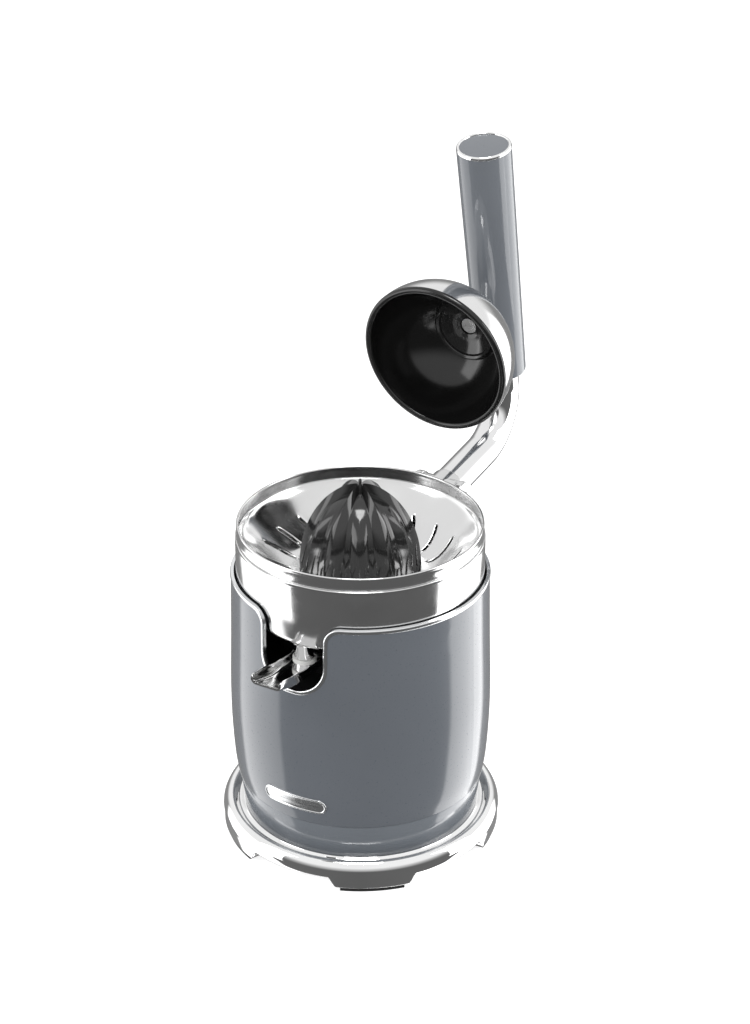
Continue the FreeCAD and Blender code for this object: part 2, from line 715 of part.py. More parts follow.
def spindle_clip():
    clip = ring(7.6, 3.6, 93.4, 94.6)
    return clip.cut(block(-2.2, 2.2, 0, 12, 93, 95))


# ---- bowls -----------------------------------------------------------------------------------
def juice_collector():
    wall = COLLECTOR_WALL
    low = COLLECTOR_Z
    corner = 7.0
    bevel = corner * (1 - math.sqrt(0.5))
    outer_corner = arc((COLLECTOR_R - corner, low), (COLLECTOR_R - bevel, low + bevel),
                       (COLLECTOR_R, low + corner))
    inner = corner - wall
    half_way = inner * math.sqrt(0.5)
    inner_corner = arc((COLLECTOR_R - corner, low + wall),
                       (COLLECTOR_R - corner + half_way, low + corner - half_way),
                       (COLLECTOR_R - wall, low + corner))
    tube_r, tube_top = 9.6, 181.0
    edges = [line((tube_r, low), (COLLECTOR_R - corner, low)), outer_corner,
             line((COLLECTOR_R, low + corner), (COLLECTOR_R, COLLECTOR_TOP_Z)),
             line((COLLECTOR_R, COLLECTOR_TOP_Z), (COLLECTOR_R - wall, COLLECTOR_TOP_Z)),
             line((COLLECTOR_R - wall, COLLECTOR_TOP_Z), (COLLECTOR_R - wall, low + corner)), inner_corner,
             line((COLLECTOR_R - corner, low + wall), (tube_r + wall, low + wall)),
             line((tube_r + wall, low + wall), (tube_r + wall, tube_top)),
             line((tube_r + wall, tube_top), (tube_r, tube_top)),
             line((tube_r, tube_top), (tube_r, low))]
    bowl = revolve_edges(edges)
    outlet = ring(6.8, 5.4, OUTLET_Z, low + 1.0, 0, OUTLET_Y)
    bowl = bowl.fuse(outlet).cut(cylinder(5.4, OUTLET_Z - 1, low + 3, 0, OUTLET_Y))
    for way in (-1, 1):
        inner_x = way * (SPOUT_HALF_WIDTH + 0.5)
        outer_x = way * (SPOUT_HALF_WIDTH + 2.0)
        x0, x1 = min(inner_x, outer_x), max(inner_x, outer_x)
        lug = block(x0, x1, SPOUT_PIVOT_Y - LUG_R, SPOUT_PIVOT_Y + LUG_R, SPOUT_PIVOT_Z, low + 0.5)
        lug = lug.fuse(rod_x(LUG_R, x0, x1, SPOUT_PIVOT_Y, SPOUT_PIVOT_Z))
        bowl = bowl.fuse(lug)
    return bowl.cut(rod_x(1.5, -20, 20, SPOUT_PIVOT_Y, SPOUT_PIVOT_Z))


def spout_pin():
    reach = SPOUT_HALF_WIDTH + 2.0
    pin = rod_x(1.5, -reach, reach, SPOUT_PIVOT_Y, SPOUT_PIVOT_Z)
    return pin.fuse(rod_x(2.3, reach, reach + 0.9, SPOUT_PIVOT_Y, SPOUT_PIVOT_Z)).fuse(
        rod_x(2.3, -reach - 0.9, -reach, SPOUT_PIVOT_Y, SPOUT_PIVOT_Z))


def strainer_bowl():
    """A dished steel strainer: rim band, sloping dish, flat floor and a short centre tube."""
    wall = 1.1
    top = RIM_TOP_Z
    half = wall / 2
    floor = STRAINER_FLOOR_Z
    hub_r, hub_top = 15.5, 189.0
    plug = (76.3, 206.6)
    inner_dish = [(RIM_R - wall, RIM_Z + 1.0), (75.2, 206.4), (70.0, 201.4), (60.0, 192.0), (50.0, 184.8),
                  (42.0, floor)]
    outer_dish = [(42.0, floor - wall), (50.4, 183.6), (60.8, 190.9), (70.8, 200.4), plug]
    edges = [arc((RIM_R, top - half), (RIM_R - half, top), (RIM_R - wall, top - half)),
             line((RIM_R - wall, top - half), (RIM_R - wall, RIM_Z + 1.0)),
             curve(inner_dish),
             line((42.0, floor), (hub_r, floor)),
             line((hub_r, floor), (hub_r, hub_top)),
             line((hub_r, hub_top), (hub_r - wall, hub_top)),
             line((hub_r - wall, hub_top), (hub_r - wall, floor - wall)),
             line((hub_r - wall, floor - wall), (42.0, floor - wall)),
             curve(outer_dish),
             line(plug, (plug[0], RIM_Z)),
             line((plug[0], RIM_Z), (RIM_R, RIM_Z)),
             line((RIM_R, RIM_Z), (RIM_R, top - half))]
    bowl = revolve_edges(edges)
    sweep = 40.0
    centre = V(sweep, 52.0, 150)
    inner_r = sweep - SLOT_WIDTH / 2
    crescent = Part.makeCylinder(inner_r + SLOT_WIDTH, 90, centre)
    crescent = crescent.cut(Part.makeCylinder(inner_r, 90, centre))
    window = ring(63.0, 43.5, 150, 240)
    slot = crescent.common(window).common(block(-30, 20, 20, 80, 150, 240))
    return bowl.cut(Part.makeCompound(around(slot, SLOT_COUNT)))


# ---- reamer ----------------------------------------------------------------------------------
def cone_profile(inset):
    """Outline points of the reamer's dome, pulled in by inset."""
    points = [(38.4, CONE_Z), (37.9, 193.5), (36.4, 203.5), (33.4, 214.0), (28.6, 224.0), (21.6, 233.0),
              (13.0, 239.5), (5.0, 243.0)]
    return [(max(1.6, r - inset), z - inset * 0.35) for r, z in points]


def cone_envelope(inset):
    outline = cone_profile(inset)
    top = outline[-1]
    low = (outline[0][0], CONE_Z)
    crown = (0, top[1] + 0.6)
    edges = [curve([low] + outline[1:]), line(top, crown), line(crown, (0, CONE_Z)), line((0, CONE_Z), low)]
    return revolve_edges(edges)


def reamer_cone():
    core = cone_envelope(3.2)
    skirt = revolve([(0, CONE_Z), (38.4, CONE_Z), (38.2, CONE_Z + 4), (35.0, CONE_Z + 6), (0, CONE_Z + 6)])
    body = core.fuse(skirt)
    envelope = cone_envelope(0)
    half = 1.5
    for k in range(CONE_RIBS):
        plate = turned(block(0, 45, -half, half, CONE_Z, CONE_TIP_Z), 360.0 * k / CONE_RIBS)
        body = body.fuse(plate.common(envelope))
    spike = Part.makeCone(3.0, 0.7, CONE_TIP_Z - 238.0, V(0, 0, 238.0))
    body = body.fuse(spike)
    hollow = revolve([(0, CONE_Z - 1), (31.5, CONE_Z - 1), (30.5, 200.0), (24.0, 216.0), (13.0, 226.0),
                      (0, 229.0)])
    boss = cylinder(12.5, CONE_Z, 232.0)
    body = body.cut(hollow.cut(boss))
    body = body.cut(cylinder(9.0, CONE_Z - 1, 208.0))
    return body


def cone_hub():
    """A hexagon-socket insert moulded into the reamer, which drops over the spindle."""
    return cylinder(9.0, CONE_Z, 208.0).cut(hexagon(SPINDLE_R + 0.12, CONE_Z - 1, SPINDLE_TOP_Z + 0.1))


# ---- spout -----------------------------------------------------------------------------------
def spout_trough():
    """A sheet-steel trough with upturned sides whose outer half kicks up towards the lip."""
    half = SPOUT_HALF_WIDTH
    floor = [(-53.0, 146.4), (-90.0, 147.2), (-110.0, 152.6)]
    wall_top = [(-110.0, 159.4), (-98.0, 157.6), (-84.0, 154.6), (-62.0, 152.4), (-53.0, 152.4)]
    outline = [V(-half, y, z) for y, z in floor + wall_top]
    solid = Part.Face(Part.makePolygon(outline + [outline[0]])).extrude(V(2 * half, 0, 0))
    rise = SPOUT_WALL
    hollow_points = [(-50.0, 146.4 + rise), (-90.0, 147.2 + rise), (-114.0, 153.7 + rise), (-114.0, 170.0),
                     (-50.0, 170.0)]
    hollow = [V(-half + rise, y, z) for y, z in hollow_points]
    inside = Part.Face(Part.makePolygon(hollow + [hollow[0]])).extrude(V(2 * (half - rise), 0, 0))
    return solid.cut(inside).cut(rod_x(1.5 + RUNNING, -20, 20, SPOUT_PIVOT_Y, SPOUT_PIVOT_Z))


def spout_seal():
    """The drip stop's disc and its foot, standing on the trough's floor."""
    low, top = 148.05, OUTLET_Z - 0.2
    disc = revolve([(0, low), (4.0, low), (4.0, low + 1.6), (7.6, low + 2.6), (7.6, top), (0, top)])
    disc.translate(V(0, OUTLET_Y, 0))
    return disc


# ---- press arm, drawn closed (dome over the reamer) and swung open about the hinge -----------
HINGE = V(0, HINGE_Y, HINGE_Z)
CORNER = V(0, HINGE_Y, HINGE_Z + CORNER_RISE)
HANDLE_DIRECTION = V(0, -math.cos(math.radians(HANDLE_DROOP)), -math.sin(math.radians(HANDLE_DROOP)))


def swing_open(shape):
    return turned(shape, -OPEN_ANGLE, X_AXIS, HINGE)


def along_handle(profile):
    """Turn an outline of (radius, distance from the corner) about the handle's own axis."""
    corners = [V(r, 0, s) for r, s in profile]
    solid = Part.Face(Part.makePolygon(corners + [corners[0]])).revolve(V(0, 0, 0), Z_AXIS, 360)
    solid.Placement = FreeCAD.Placement(CORNER, FreeCAD.Rotation(Z_AXIS, HANDLE_DIRECTION))
    return solid


def tube_path(end):
    turn = math.radians(90 + HANDLE_DROOP)
    tangent = BEND_R * math.tan(turn / 2)
    start = HINGE + V(0, 0, TUBE_START)
    bend_start = CORNER - V(0, 0, tangent)
    bend_end = CORNER + HANDLE_DIRECTION * tangent
    middle_way = (HANDLE_DIRECTION - Z_AXIS)
    middle_way.normalize()
    to_centre = BEND_R / math.cos(turn / 2)
    middle = CORNER + middle_way * (to_centre - BEND_R)
    finish = CORNER + HANDLE_DIRECTION * end
    return Part.Wire([Part.makeLine(start, bend_start), Part.Arc(bend_start, middle, bend_end).toShape(),
                      Part.makeLine(bend_end, finish)])


def tube_solid(radius, end):
    path = tube_path(end)
    circle = Part.Wire(Part.makeCircle(radius, HINGE + V(0, 0, TUBE_START), Z_AXIS))
    return path.makePipeShell([circle], True, True)


def stem_cutter(radius):
    return cylinder(radius, 240, STEM_TOP_Z)


def arm_tube():
    tube = tube_solid(TUBE_R, TUBE_END).cut(tube_solid(TUBE_R - TUBE_WALL, TUBE_END))
    return tube.cut(stem_cutter(STEM_SPIGOT_R))


def hinge_knuckle():
    """Turns on the hinge pin through two flanged bushes and plugs into the tube's lower end."""
    half = EAR_GAP - 0.4
    barrel = rod_x(EAR_R - 0.8, -half, half, HINGE_Y, HINGE_Z)
    seat = cylinder(TUBE_R + 1.0, HINGE_Z, HINGE_Z + TUBE_START, 0, HINGE_Y)
    spigot = cylinder(TUBE_R - TUBE_WALL, HINGE_Z, HINGE_Z + 30.0, 0, HINGE_Y)
    body = barrel.fuse(seat).fuse(spigot)
    return body.cut(rod_x(BUSH_R, -half - 1, half + 1, HINGE_Y, HINGE_Z))


def hinge_bushes():
    half = EAR_GAP - 0.4
    bushes = []
    for x0, x1 in ((-half, -1.0), (1.0, half)):
        bush = rod_x(BUSH_R, x0, x1, HINGE_Y, HINGE_Z)
        bushes.append(bush.cut(rod_x(HINGE_PIN_R + RUNNING, x0 - 1, x1 + 1, HINGE_Y, HINGE_Z)))
    return bushes


def grip_sleeve():
    end = GRIP_END
    sleeve = along_handle([(TUBE_R, GRIP_START), (GRIP_R_START - 0.8, GRIP_START),
                           (GRIP_R_START, GRIP_START + 1.0), (GRIP_R_END, end), (TUBE_R, end)])
    return sleeve.cut(stem_cutter(STEM_R))


def grip_end_ring():
    edge = GRIP_R_END
    low, top = GRIP_END, GRIP_END + 2.2
    return along_handle([(edge - 2.0, low), (edge, low), (edge, top - 0.8), (edge - 0.7, top),
                         (edge - 2.0, top)])


def grip_end_cap():
    edge = GRIP_R_END - 2.0
    plug_r = TUBE_R - TUBE_WALL
    return along_handle([(0, GRIP_END - 12), (plug_r, GRIP_END - 12), (plug_r, TUBE_END), (TUBE_R, TUBE_END),
                         (TUBE_R, GRIP_END), (edge, GRIP_END), (edge, GRIP_END + 1.5), (0, GRIP_END + 1.5)])


def on_dome(radius, angle):
    """A point of (radius, z) on the dome's half circle, angle in degrees from the rim's plane."""
    turn = math.radians(angle)
    return radius * math.cos(turn), DOME_RIM_Z + radius * math.sin(turn)


def dome_arc(radius):
    return arc(on_dome(radius, 0), on_dome(radius, 45), (0, DOME_RIM_Z + radius))


def dome_shell():
    inner = DOME_R - DOME_WALL
    edges = [dome_arc(DOME_R), line((0, DOME_RIM_Z + DOME_R), (0, DOME_RIM_Z + inner)), dome_arc(inner),
             line((inner, DOME_RIM_Z), (DOME_R, DOME_RIM_Z))]
    return revolve_edges(edges).cut(cylinder(WASHER_R, 230, 260))


def dome_liner():
    outer = DOME_R - DOME_WALL
    inner = outer - LINER_WALL
    lip = DOME_RIM_Z - 1.6
    edges = [line((DOME_R, DOME_RIM_Z), (outer, DOME_RIM_Z)), dome_arc(outer),
             line((0, DOME_RIM_Z + outer), (0, DOME_RIM_Z + inner)), dome_arc(inner),
             line((inner, DOME_RIM_Z), (inner, lip)), line((inner, lip), (DOME_R - 0.6, lip)),
             line((DOME_R - 0.6, lip), (DOME_R, DOME_RIM_Z))]
    return revolve_edges(edges).cut(cylinder(WASHER_R, 230, 260))


def press_cup():
    """A round press pad with a dimple for the reamer's tip, on the liner's crown."""
    seat = DOME_R - DOME_WALL - LINER_WALL
    centre = V(0, 0, DOME_RIM_Z)
    ball = Part.makeSphere(seat, centre)
    shell = ball.cut(Part.makeSphere(seat - PRESS_CUP_WALL, centre))
    cup = shell.common(ring(PRESS_CUP_R, PRESS_CUP_BORE_R, DOME_RIM_Z + 20, DOME_RIM_Z + 60))
    rib = block(-0.9, 0.9, PRESS_CUP_BORE_R, PRESS_RIB_R, DOME_RIM_Z + 12, DOME_RIM_Z + 60)
    rib = rib.common(ball).cut(Part.makeSphere(seat - PRESS_RIB_HEIGHT, centre))
    for piece in around(rib, 6, 30):
        cup = cup.fuse(piece)
    return cup


def dome_stem():
    """The turned neck that ties the dome to the handle."""
    neck = revolve([(0, 248.0), (13.0, 248.0), (10.5, 254.0), (STEM_R, 259.0), (STEM_R, 268.0),
                    (STEM_SPIGOT_R, 268.0), (STEM_SPIGOT_R, STEM_TOP_Z), (0, STEM_TOP_Z)])
    neck = neck.cut(Part.makeSphere(DOME_R, V(0, 0, DOME_RIM_Z)))
    around_tube = tube_solid(TUBE_R, TUBE_END).cut(stem_cutter(STEM_SPIGOT_R))
    return neck.cut(cylinder(STEM_SCREW_R, 240, 268)).cut(around_tube)


def stem_screw():
    seat = DOME_RIM_Z + DOME_R - DOME_WALL - LINER_WALL
    shank = cylinder(STEM_SCREW_R, seat - 1, 268)
    washer = cylinder(WASHER_R, seat - 0.5, seat + DOME_WALL + LINER_WALL - 0.4)
    head = cylinder(5.2, seat - 2.0, seat - 0.4)
    return head.fuse(washer).fuse(shank)


# ---- write every node ------------------------------------------------------------------------
def main():
    os.makedirs("parts", exist_ok=True)
    fixed = [base_ring, foot_pads, bottom_cover, bottom_screws, base_collar, outer_shell, shell_trim,
             badge_plate, hinge_bracket, hinge_pin, hinge_pin_clip, rear_frame, bracket_screws, top_deck,
             deck_screws, spindle_bush, shaft_seal, motor_can, stator_stack, stator_windings, motor_bushes,
             motor_flange, motor_screws, rotor_core, rotor_shaft, motor_pinion, idler_gear, idler_axle,
             output_gear, output_bush, return_spring, gearbox_housing, gearbox_cover, gearbox_screws,
             microswitch, switch_plunger, terminal_block, cord_gland, drive_spindle, spindle_clip,
             juice_collector, spout_pin, strainer_bowl, reamer_cone, cone_hub, spout_trough, spout_seal]
    arm = [arm_tube, hinge_knuckle, hinge_bushes, grip_sleeve, grip_end_ring, grip_end_cap, dome_shell,
           dome_liner, press_cup, dome_stem, stem_screw]
    for make in fixed:
        export(make.__name__, make())
    for make in arm:
        made = make()
        pieces = made if isinstance(made, list) else [made]
        export(make.__name__, [swing_open(piece) for piece in pieces])


main()
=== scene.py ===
"""Looks of the citrus press juicer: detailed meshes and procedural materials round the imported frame."""

import json
import math

import bmesh
import bpy
from mathutils import Matrix, Vector


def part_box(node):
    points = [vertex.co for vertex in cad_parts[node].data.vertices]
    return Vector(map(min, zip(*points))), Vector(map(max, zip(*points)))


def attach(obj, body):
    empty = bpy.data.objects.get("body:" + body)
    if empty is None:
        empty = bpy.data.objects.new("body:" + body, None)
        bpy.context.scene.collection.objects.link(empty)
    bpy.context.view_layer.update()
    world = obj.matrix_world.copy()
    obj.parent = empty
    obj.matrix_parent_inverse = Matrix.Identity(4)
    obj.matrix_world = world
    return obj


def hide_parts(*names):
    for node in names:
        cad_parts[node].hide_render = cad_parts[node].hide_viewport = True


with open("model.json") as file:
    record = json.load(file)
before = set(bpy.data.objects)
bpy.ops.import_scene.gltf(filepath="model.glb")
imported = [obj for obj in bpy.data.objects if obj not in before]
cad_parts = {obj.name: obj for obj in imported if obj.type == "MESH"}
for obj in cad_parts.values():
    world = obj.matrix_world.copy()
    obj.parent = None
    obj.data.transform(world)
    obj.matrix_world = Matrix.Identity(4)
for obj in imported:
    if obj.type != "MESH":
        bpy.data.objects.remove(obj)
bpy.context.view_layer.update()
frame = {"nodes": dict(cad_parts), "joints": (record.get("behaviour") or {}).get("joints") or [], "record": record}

MM = 0.001
JOINTS = {joint["name"]: joint for joint in frame["joints"]}


# ---- sizes read from the frame --------------------------------------------------------
def low(node):
    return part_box(node)[0]


def high(node):
    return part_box(node)[1]


HINGE = Vector(JOINTS["arm_fold"]["pos_m"])
BASE_FOOT_Z = low("base_ring").z
COLLAR_Z = low("base_collar").z
SHELL_TOP_Z = high("shell_trim").z
NOTCH_Z = low("shell_trim").z
CONE_TOP_Z = high("reamer_cone").z
TUBE_R = high("arm_tube").x
DOME_R = high("dome_shell").x

# ---- shapes that the frame's boxes don't give ------------------------------------------
OPEN_ANGLE = math.radians(81.6)
HANDLE_DROOP = math.radians(2.0)
CORNER_RISE = 91 * MM
BEND_R = 35 * MM
TUBE_START = 12 * MM
GRIP_START = 46 * MM
GRIP_END = 213 * MM
GRIP_R_START = 16.4 * MM
GRIP_R_END = 17.75 * MM
DOME_RIM_Z = 199 * MM
DOME_WALL = 1.2 * MM
LINER_WALL = 3.0 * MM
FOOT_COUNT = 5
FOOT_HALF_ANGLE = 15.0
FOOT_TOP_HALF_ANGLE = 18.5
BASE_COLUMNS = 1440
BASE_UNDERSIDE_Z = 9 * MM
TRIM_WIDTH = 2.6 * MM
NOTCH_HALF_WIDTH = 21.4 * MM
NOTCH_TOP_FILLET = 10.5 * MM
NOTCH_BOTTOM_FILLET = 19.0 * MM
EAR_GAP = 13.3 * MM
EAR_WALL = 5.2 * MM
EAR_R = 12.5 * MM
SPOUT_PIVOT = Vector(JOINTS["spout_flip"]["pos_m"])
SPOUT_HALF_WIDTH = 11.0 * MM
SPOUT_SHEET = 1.2 * MM
SHELL_OUTLINE = [(42.0, 79.3), (50.0, 80.7), (65.0, 82.1), (95.0, 83.2), (132.0, 82.5), (160.0, 81.9),
                 (184.5, 81.5)]


# ---- mesh helpers -------------------------------------------------------------------------
def smooth_curve(points, steps):
    """A Catmull-Rom curve through 2-D points, with the given steps between each two."""
    padded = [points[0]] + list(points) + [points[-1]]
    out = []
    for k in range(1, len(padded) - 2):
        p0, p1, p2, p3 = (Vector((p[0], p[1])) for p in padded[k - 1:k + 3])
        for i in range(steps):
            t = i / steps
            out.append(0.5 * (2 * p1 + (p2 - p0) * t + (2 * p0 - 5 * p1 + 4 * p2 - p3) * t * t
                              + (3 * p1 - p0 - 3 * p2 + p3) * t * t * t))
    out.append(Vector((points[-1][0], points[-1][1])))
    return [(p.x, p.y) for p in out]


def rounded(points, steps=6):
    """A polyline of (a, b, radius) corners with each corner rounded to its radius."""
    out = []
    for k, (a, b, radius) in enumerate(points):
        here = Vector((a, b))
        if radius == 0 or k in (0, len(points) - 1):
            out.append((a, b))
            continue
        before = (Vector(points[k - 1][:2]) - here).normalized()
        after = (Vector(points[k + 1][:2]) - here).normalized()
        half = before.angle(after) / 2
        reach = radius / math.tan(half)
        start, end = here + before * reach, here + after * reach
        centre = here + (before + after).normalized() * (radius / math.sin(half))
        for i in range(steps + 1):
            spoke = (start - centre).lerp(end - centre, i / steps).normalized() * radius
            out.append(tuple(centre + spoke))
    return out


def scaled(points):
    """Outline points in millimetres, as metres."""
    return [tuple(value * MM for value in point) for point in points]


def grid_faces(rows, columns, close_rows=False, close_columns=True):
    faces = []
    for i in range(rows if close_rows else rows - 1):
        for j in range(columns if close_columns else columns - 1):
            i2, j2 = (i + 1) % rows, (j + 1) % columns
            faces.append((i * columns + j, i * columns + j2, i2 * columns + j2, i2 * columns + j))
    return faces


def make_piece(name, verts, faces, body, material, replaces=(), sharp=35.0):
    """A mesh piece with outward normals that rides on a body and replaces CAD nodes."""
    mesh = bpy.data.meshes.new(name)
    mesh.from_pydata([tuple(v) for v in verts], [], faces)
    welder = bmesh.new()
    welder.from_mesh(mesh)
    bmesh.ops.remove_doubles(welder, verts=welder.verts, dist=1e-6)
    bmesh.ops.dissolve_degenerate(welder, dist=1e-7, edges=welder.edges)
    bmesh.ops.recalc_face_normals(welder, faces=welder.faces)
    welder.to_mesh(mesh)
    welder.free()
    obj = bpy.data.objects.new(name, mesh)
    bpy.context.scene.collection.objects.link(obj)
    mesh.shade_smooth()
    mesh.set_sharp_from_angle(angle=math.radians(sharp))
    mesh.materials.append(material)
    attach(obj, body)
    if replaces:
        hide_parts(*replaces)
    return obj


def lathe(profile, segments=256):
    """Vertices and faces of a closed outline of (radius, z), turned about +Z."""
    verts = []
    for radius, z in profile:
        for k in range(segments):
            angle = 2 * math.pi * k / segments
            verts.append(Vector((radius * math.cos(angle), radius * math.sin(angle), z)))
    return verts, grid_faces(len(profile), segments, close_rows=True)


def move(verts, matrix):
    return [matrix @ Vector(v) for v in verts]


def sweep(sections, closed):
    """Vertices and faces joining equal rings of points; open sweeps get end caps."""
    count = len(sections[0])
    verts = [point for section in sections for point in section]
    faces = grid_faces(len(sections), count, close_rows=closed)
    if not closed:
        faces.append(tuple(range(count)))
        last = (len(sections) - 1) * count
        faces.append(tuple(last + k for k in reversed(range(count))))
    return verts, faces


# ---- material helpers --------------------------------------------------------------------------
def new_material(name):
    material = bpy.data.materials.new(name)
    material.use_nodes = True
    nodes = material.node_tree.nodes
    shader = nodes["Principled BSDF"]
    return material, nodes, material.node_tree.links, shader


def noise(nodes, links, scale, detail=3.0, stretch=(1, 1, 1)):
    """A noise texture in the object's own space, stretched along its axes."""
    place = nodes.new("ShaderNodeTexCoord")
    mapping = nodes.new("ShaderNodeMapping")
    mapping.inputs["Scale"].default_value = stretch
    texture = nodes.new("ShaderNodeTexNoise")
    texture.inputs["Scale"].default_value = scale
    texture.inputs["Detail"].default_value = detail
    links.new(place.outputs["Object"], mapping.inputs["Vector"])
    links.new(mapping.outputs["Vector"], texture.inputs["Vector"])
    return texture.outputs["Fac"]


def ramp(nodes, links, source, start, end):
    """Spread a noise value between two colours."""
    node = nodes.new("ShaderNodeValToRGB")
    node.color_ramp.elements[0].position = 0.3
    node.color_ramp.elements[1].position = 0.7
    node.color_ramp.elements[0].color = (*start, 1)
    node.color_ramp.elements[1].color = (*end, 1)
    links.new(source, node.inputs["Fac"])
    return node.outputs["Color"]


def spread(nodes, links, source, start, end):
    """Spread a noise value between two numbers."""
    node = nodes.new("ShaderNodeMapRange")
    node.inputs["From Min"].default_value = 0.3
    node.inputs["From Max"].default_value = 0.7
    node.inputs["To Min"].default_value = start
    node.inputs["To Max"].default_value = end
    links.new(source, node.inputs["Value"])
    return node.outputs["Result"]


def bump(nodes, links, shader, source, strength, distance):
    node = nodes.new("ShaderNodeBump")
    node.inputs["Strength"].default_value = strength
    node.inputs["Distance"].default_value = distance
    links.new(source, node.inputs["Height"])
    links.new(node.outputs["Normal"], shader.inputs["Normal"])


def tinted(colour, factor):
    return tuple(min(1.0, channel * factor) for channel in colour)


def painted(name, colour, roughness=0.22, coat=0.6, flake=900.0):
    """Smooth sprayed paint: faint tone changes and a very fine orange peel under a clear coat."""
    material, nodes, links, shader = new_material(name)
    tone = noise(nodes, links, 14.0)
    shade = ramp(nodes, links, tone, tinted(colour, 0.97), tinted(colour, 1.03))
    links.new(shade, shader.inputs["Base Color"])
    peel = noise(nodes, links, flake, 2.0)
    links.new(spread(nodes, links, peel, roughness * 0.9, roughness * 1.1), shader.inputs["Roughness"])
    shader.inputs["Coat Weight"].default_value = coat
    shader.inputs["Coat Roughness"].default_value = 0.04
    shader.inputs["Specular IOR Level"].default_value = 0.25
    bump(nodes, links, shader, peel, 0.03, 0.0001)
    return material


def metal(name, colour, roughness, grain=(1, 1, 1), grain_scale=300.0, depth=0.03, variation=0.25):
    """Polished or brushed metal: grain in roughness, tone and bump."""
    material, nodes, links, shader = new_material(name)
    shader.inputs["Metallic"].default_value = 1.0
    streaks = noise(nodes, links, grain_scale, 4.0, grain)
    clouds = noise(nodes, links, 22.0, 3.0)
    shade = ramp(nodes, links, clouds, tinted(colour, 0.96), tinted(colour, 1.03))
    links.new(shade, shader.inputs["Base Color"])
    links.new(spread(nodes, links, streaks, roughness * (1 - variation), roughness * (1 + variation)),
              shader.inputs["Roughness"])
    bump(nodes, links, shader, streaks, depth, 0.0001)
    return material


def moulded(name, colour, roughness=0.35, texture_scale=1400.0, depth=0.05, specular=0.5):
    """Moulded plastic or rubber with a fine surface grain."""
    material, nodes, links, shader = new_material(name)
    tone = noise(nodes, links, 30.0)
    shade = ramp(nodes, links, tone, tinted(colour, 0.92), tinted(colour, 1.08))
    links.new(shade, shader.inputs["Base Color"])
    grain = noise(nodes, links, texture_scale, 2.0)
    links.new(spread(nodes, links, grain, roughness * 0.85, roughness * 1.15), shader.inputs["Roughness"])
    shader.inputs["Specular IOR Level"].default_value = specular
    bump(nodes, links, shader, grain, depth, 0.0001)
    return material


SLATE = (0.098, 0.108, 0.123)
MATERIALS = {
    "slate_paint": painted("slate_paint", SLATE, 0.30, 1.0),
    "slate_gloss": painted("slate_gloss", (0.125, 0.138, 0.155), 0.25, 1.0),
    "slate_grip": painted("slate_grip", (0.112, 0.122, 0.137), 0.34, 0.8),
    "chrome": metal("chrome", (0.90, 0.90, 0.90), 0.04, depth=0.004),
    "bright_trim": metal("bright_trim", (0.80, 0.81, 0.82), 0.20, depth=0.01),
    "polished_steel": metal("polished_steel", (0.72, 0.72, 0.72), 0.10, (1, 1, 14), 120.0, 0.012),
    "black_gloss": moulded("black_gloss", (0.006, 0.006, 0.006), 0.14, depth=0.02),
    "black_matte": moulded("black_matte", (0.014, 0.014, 0.015), 0.5),
    "foot_rubber": moulded("foot_rubber", (0.02, 0.02, 0.02), 0.7, 900.0, 0.12, 0.3),
    "silicone": moulded("silicone", (0.84, 0.84, 0.82), 0.4, 700.0, 0.04, 0.4),
    "steel": metal("steel", (0.55, 0.55, 0.55), 0.3, depth=0.02),
    "bronze": metal("bronze", (0.55, 0.38, 0.20), 0.35),
    "copper": metal("copper", (0.60, 0.28, 0.15), 0.35, (1, 1, 30), 200.0, 0.2),
    "iron": metal("iron", (0.16, 0.16, 0.17), 0.5, (1, 1, 60), 100.0, 0.1),
    "die_cast": metal("die_cast", (0.5, 0.5, 0.51), 0.42, depth=0.08),
    "nylon": moulded("nylon", (0.70, 0.69, 0.65), 0.45),
    "badge": metal("badge", (0.80, 0.81, 0.82), 0.22, depth=0.01),
    "bowl_steel": metal("bowl_steel", (0.74, 0.74, 0.74), 0.14, (1, 1, 1), 90.0, 0.01),
    "tube_steel": metal("tube_steel", (0.86, 0.86, 0.86), 0.07, depth=0.006),
    "dome_steel": metal("dome_steel", (0.82, 0.82, 0.82), 0.10, depth=0.01),
    "reamer_black": moulded("reamer_black", (0.014, 0.014, 0.014), 0.12, depth=0.02, specular=0.6),
}
for part in frame["record"]["subparts"]:
    slots = frame["nodes"][part["node"]].data.materials
    slots.clear()
    slots.append(MATERIALS[part["material_slot"]])
    frame["nodes"][part["node"]].data.update()

STEEL = MATERIALS["polished_steel"]
CHROME = MATERIALS["chrome"]


# ---- base ------------------------------------------------------------------------------------
def foot_depth(angle):
    """How far down the base reaches at an angle in degrees from the spout: 0 between feet, 1 at a foot."""
    pitch = 360.0 / FOOT_COUNT
    away = abs((angle % pitch) - pitch / 2)
    share = (FOOT_TOP_HALF_ANGLE - away) / (FOOT_TOP_HALF_ANGLE - FOOT_HALF_ANGLE)
    share = min(1.0, max(0.0, share))
    return share * share * (3 - 2 * share)


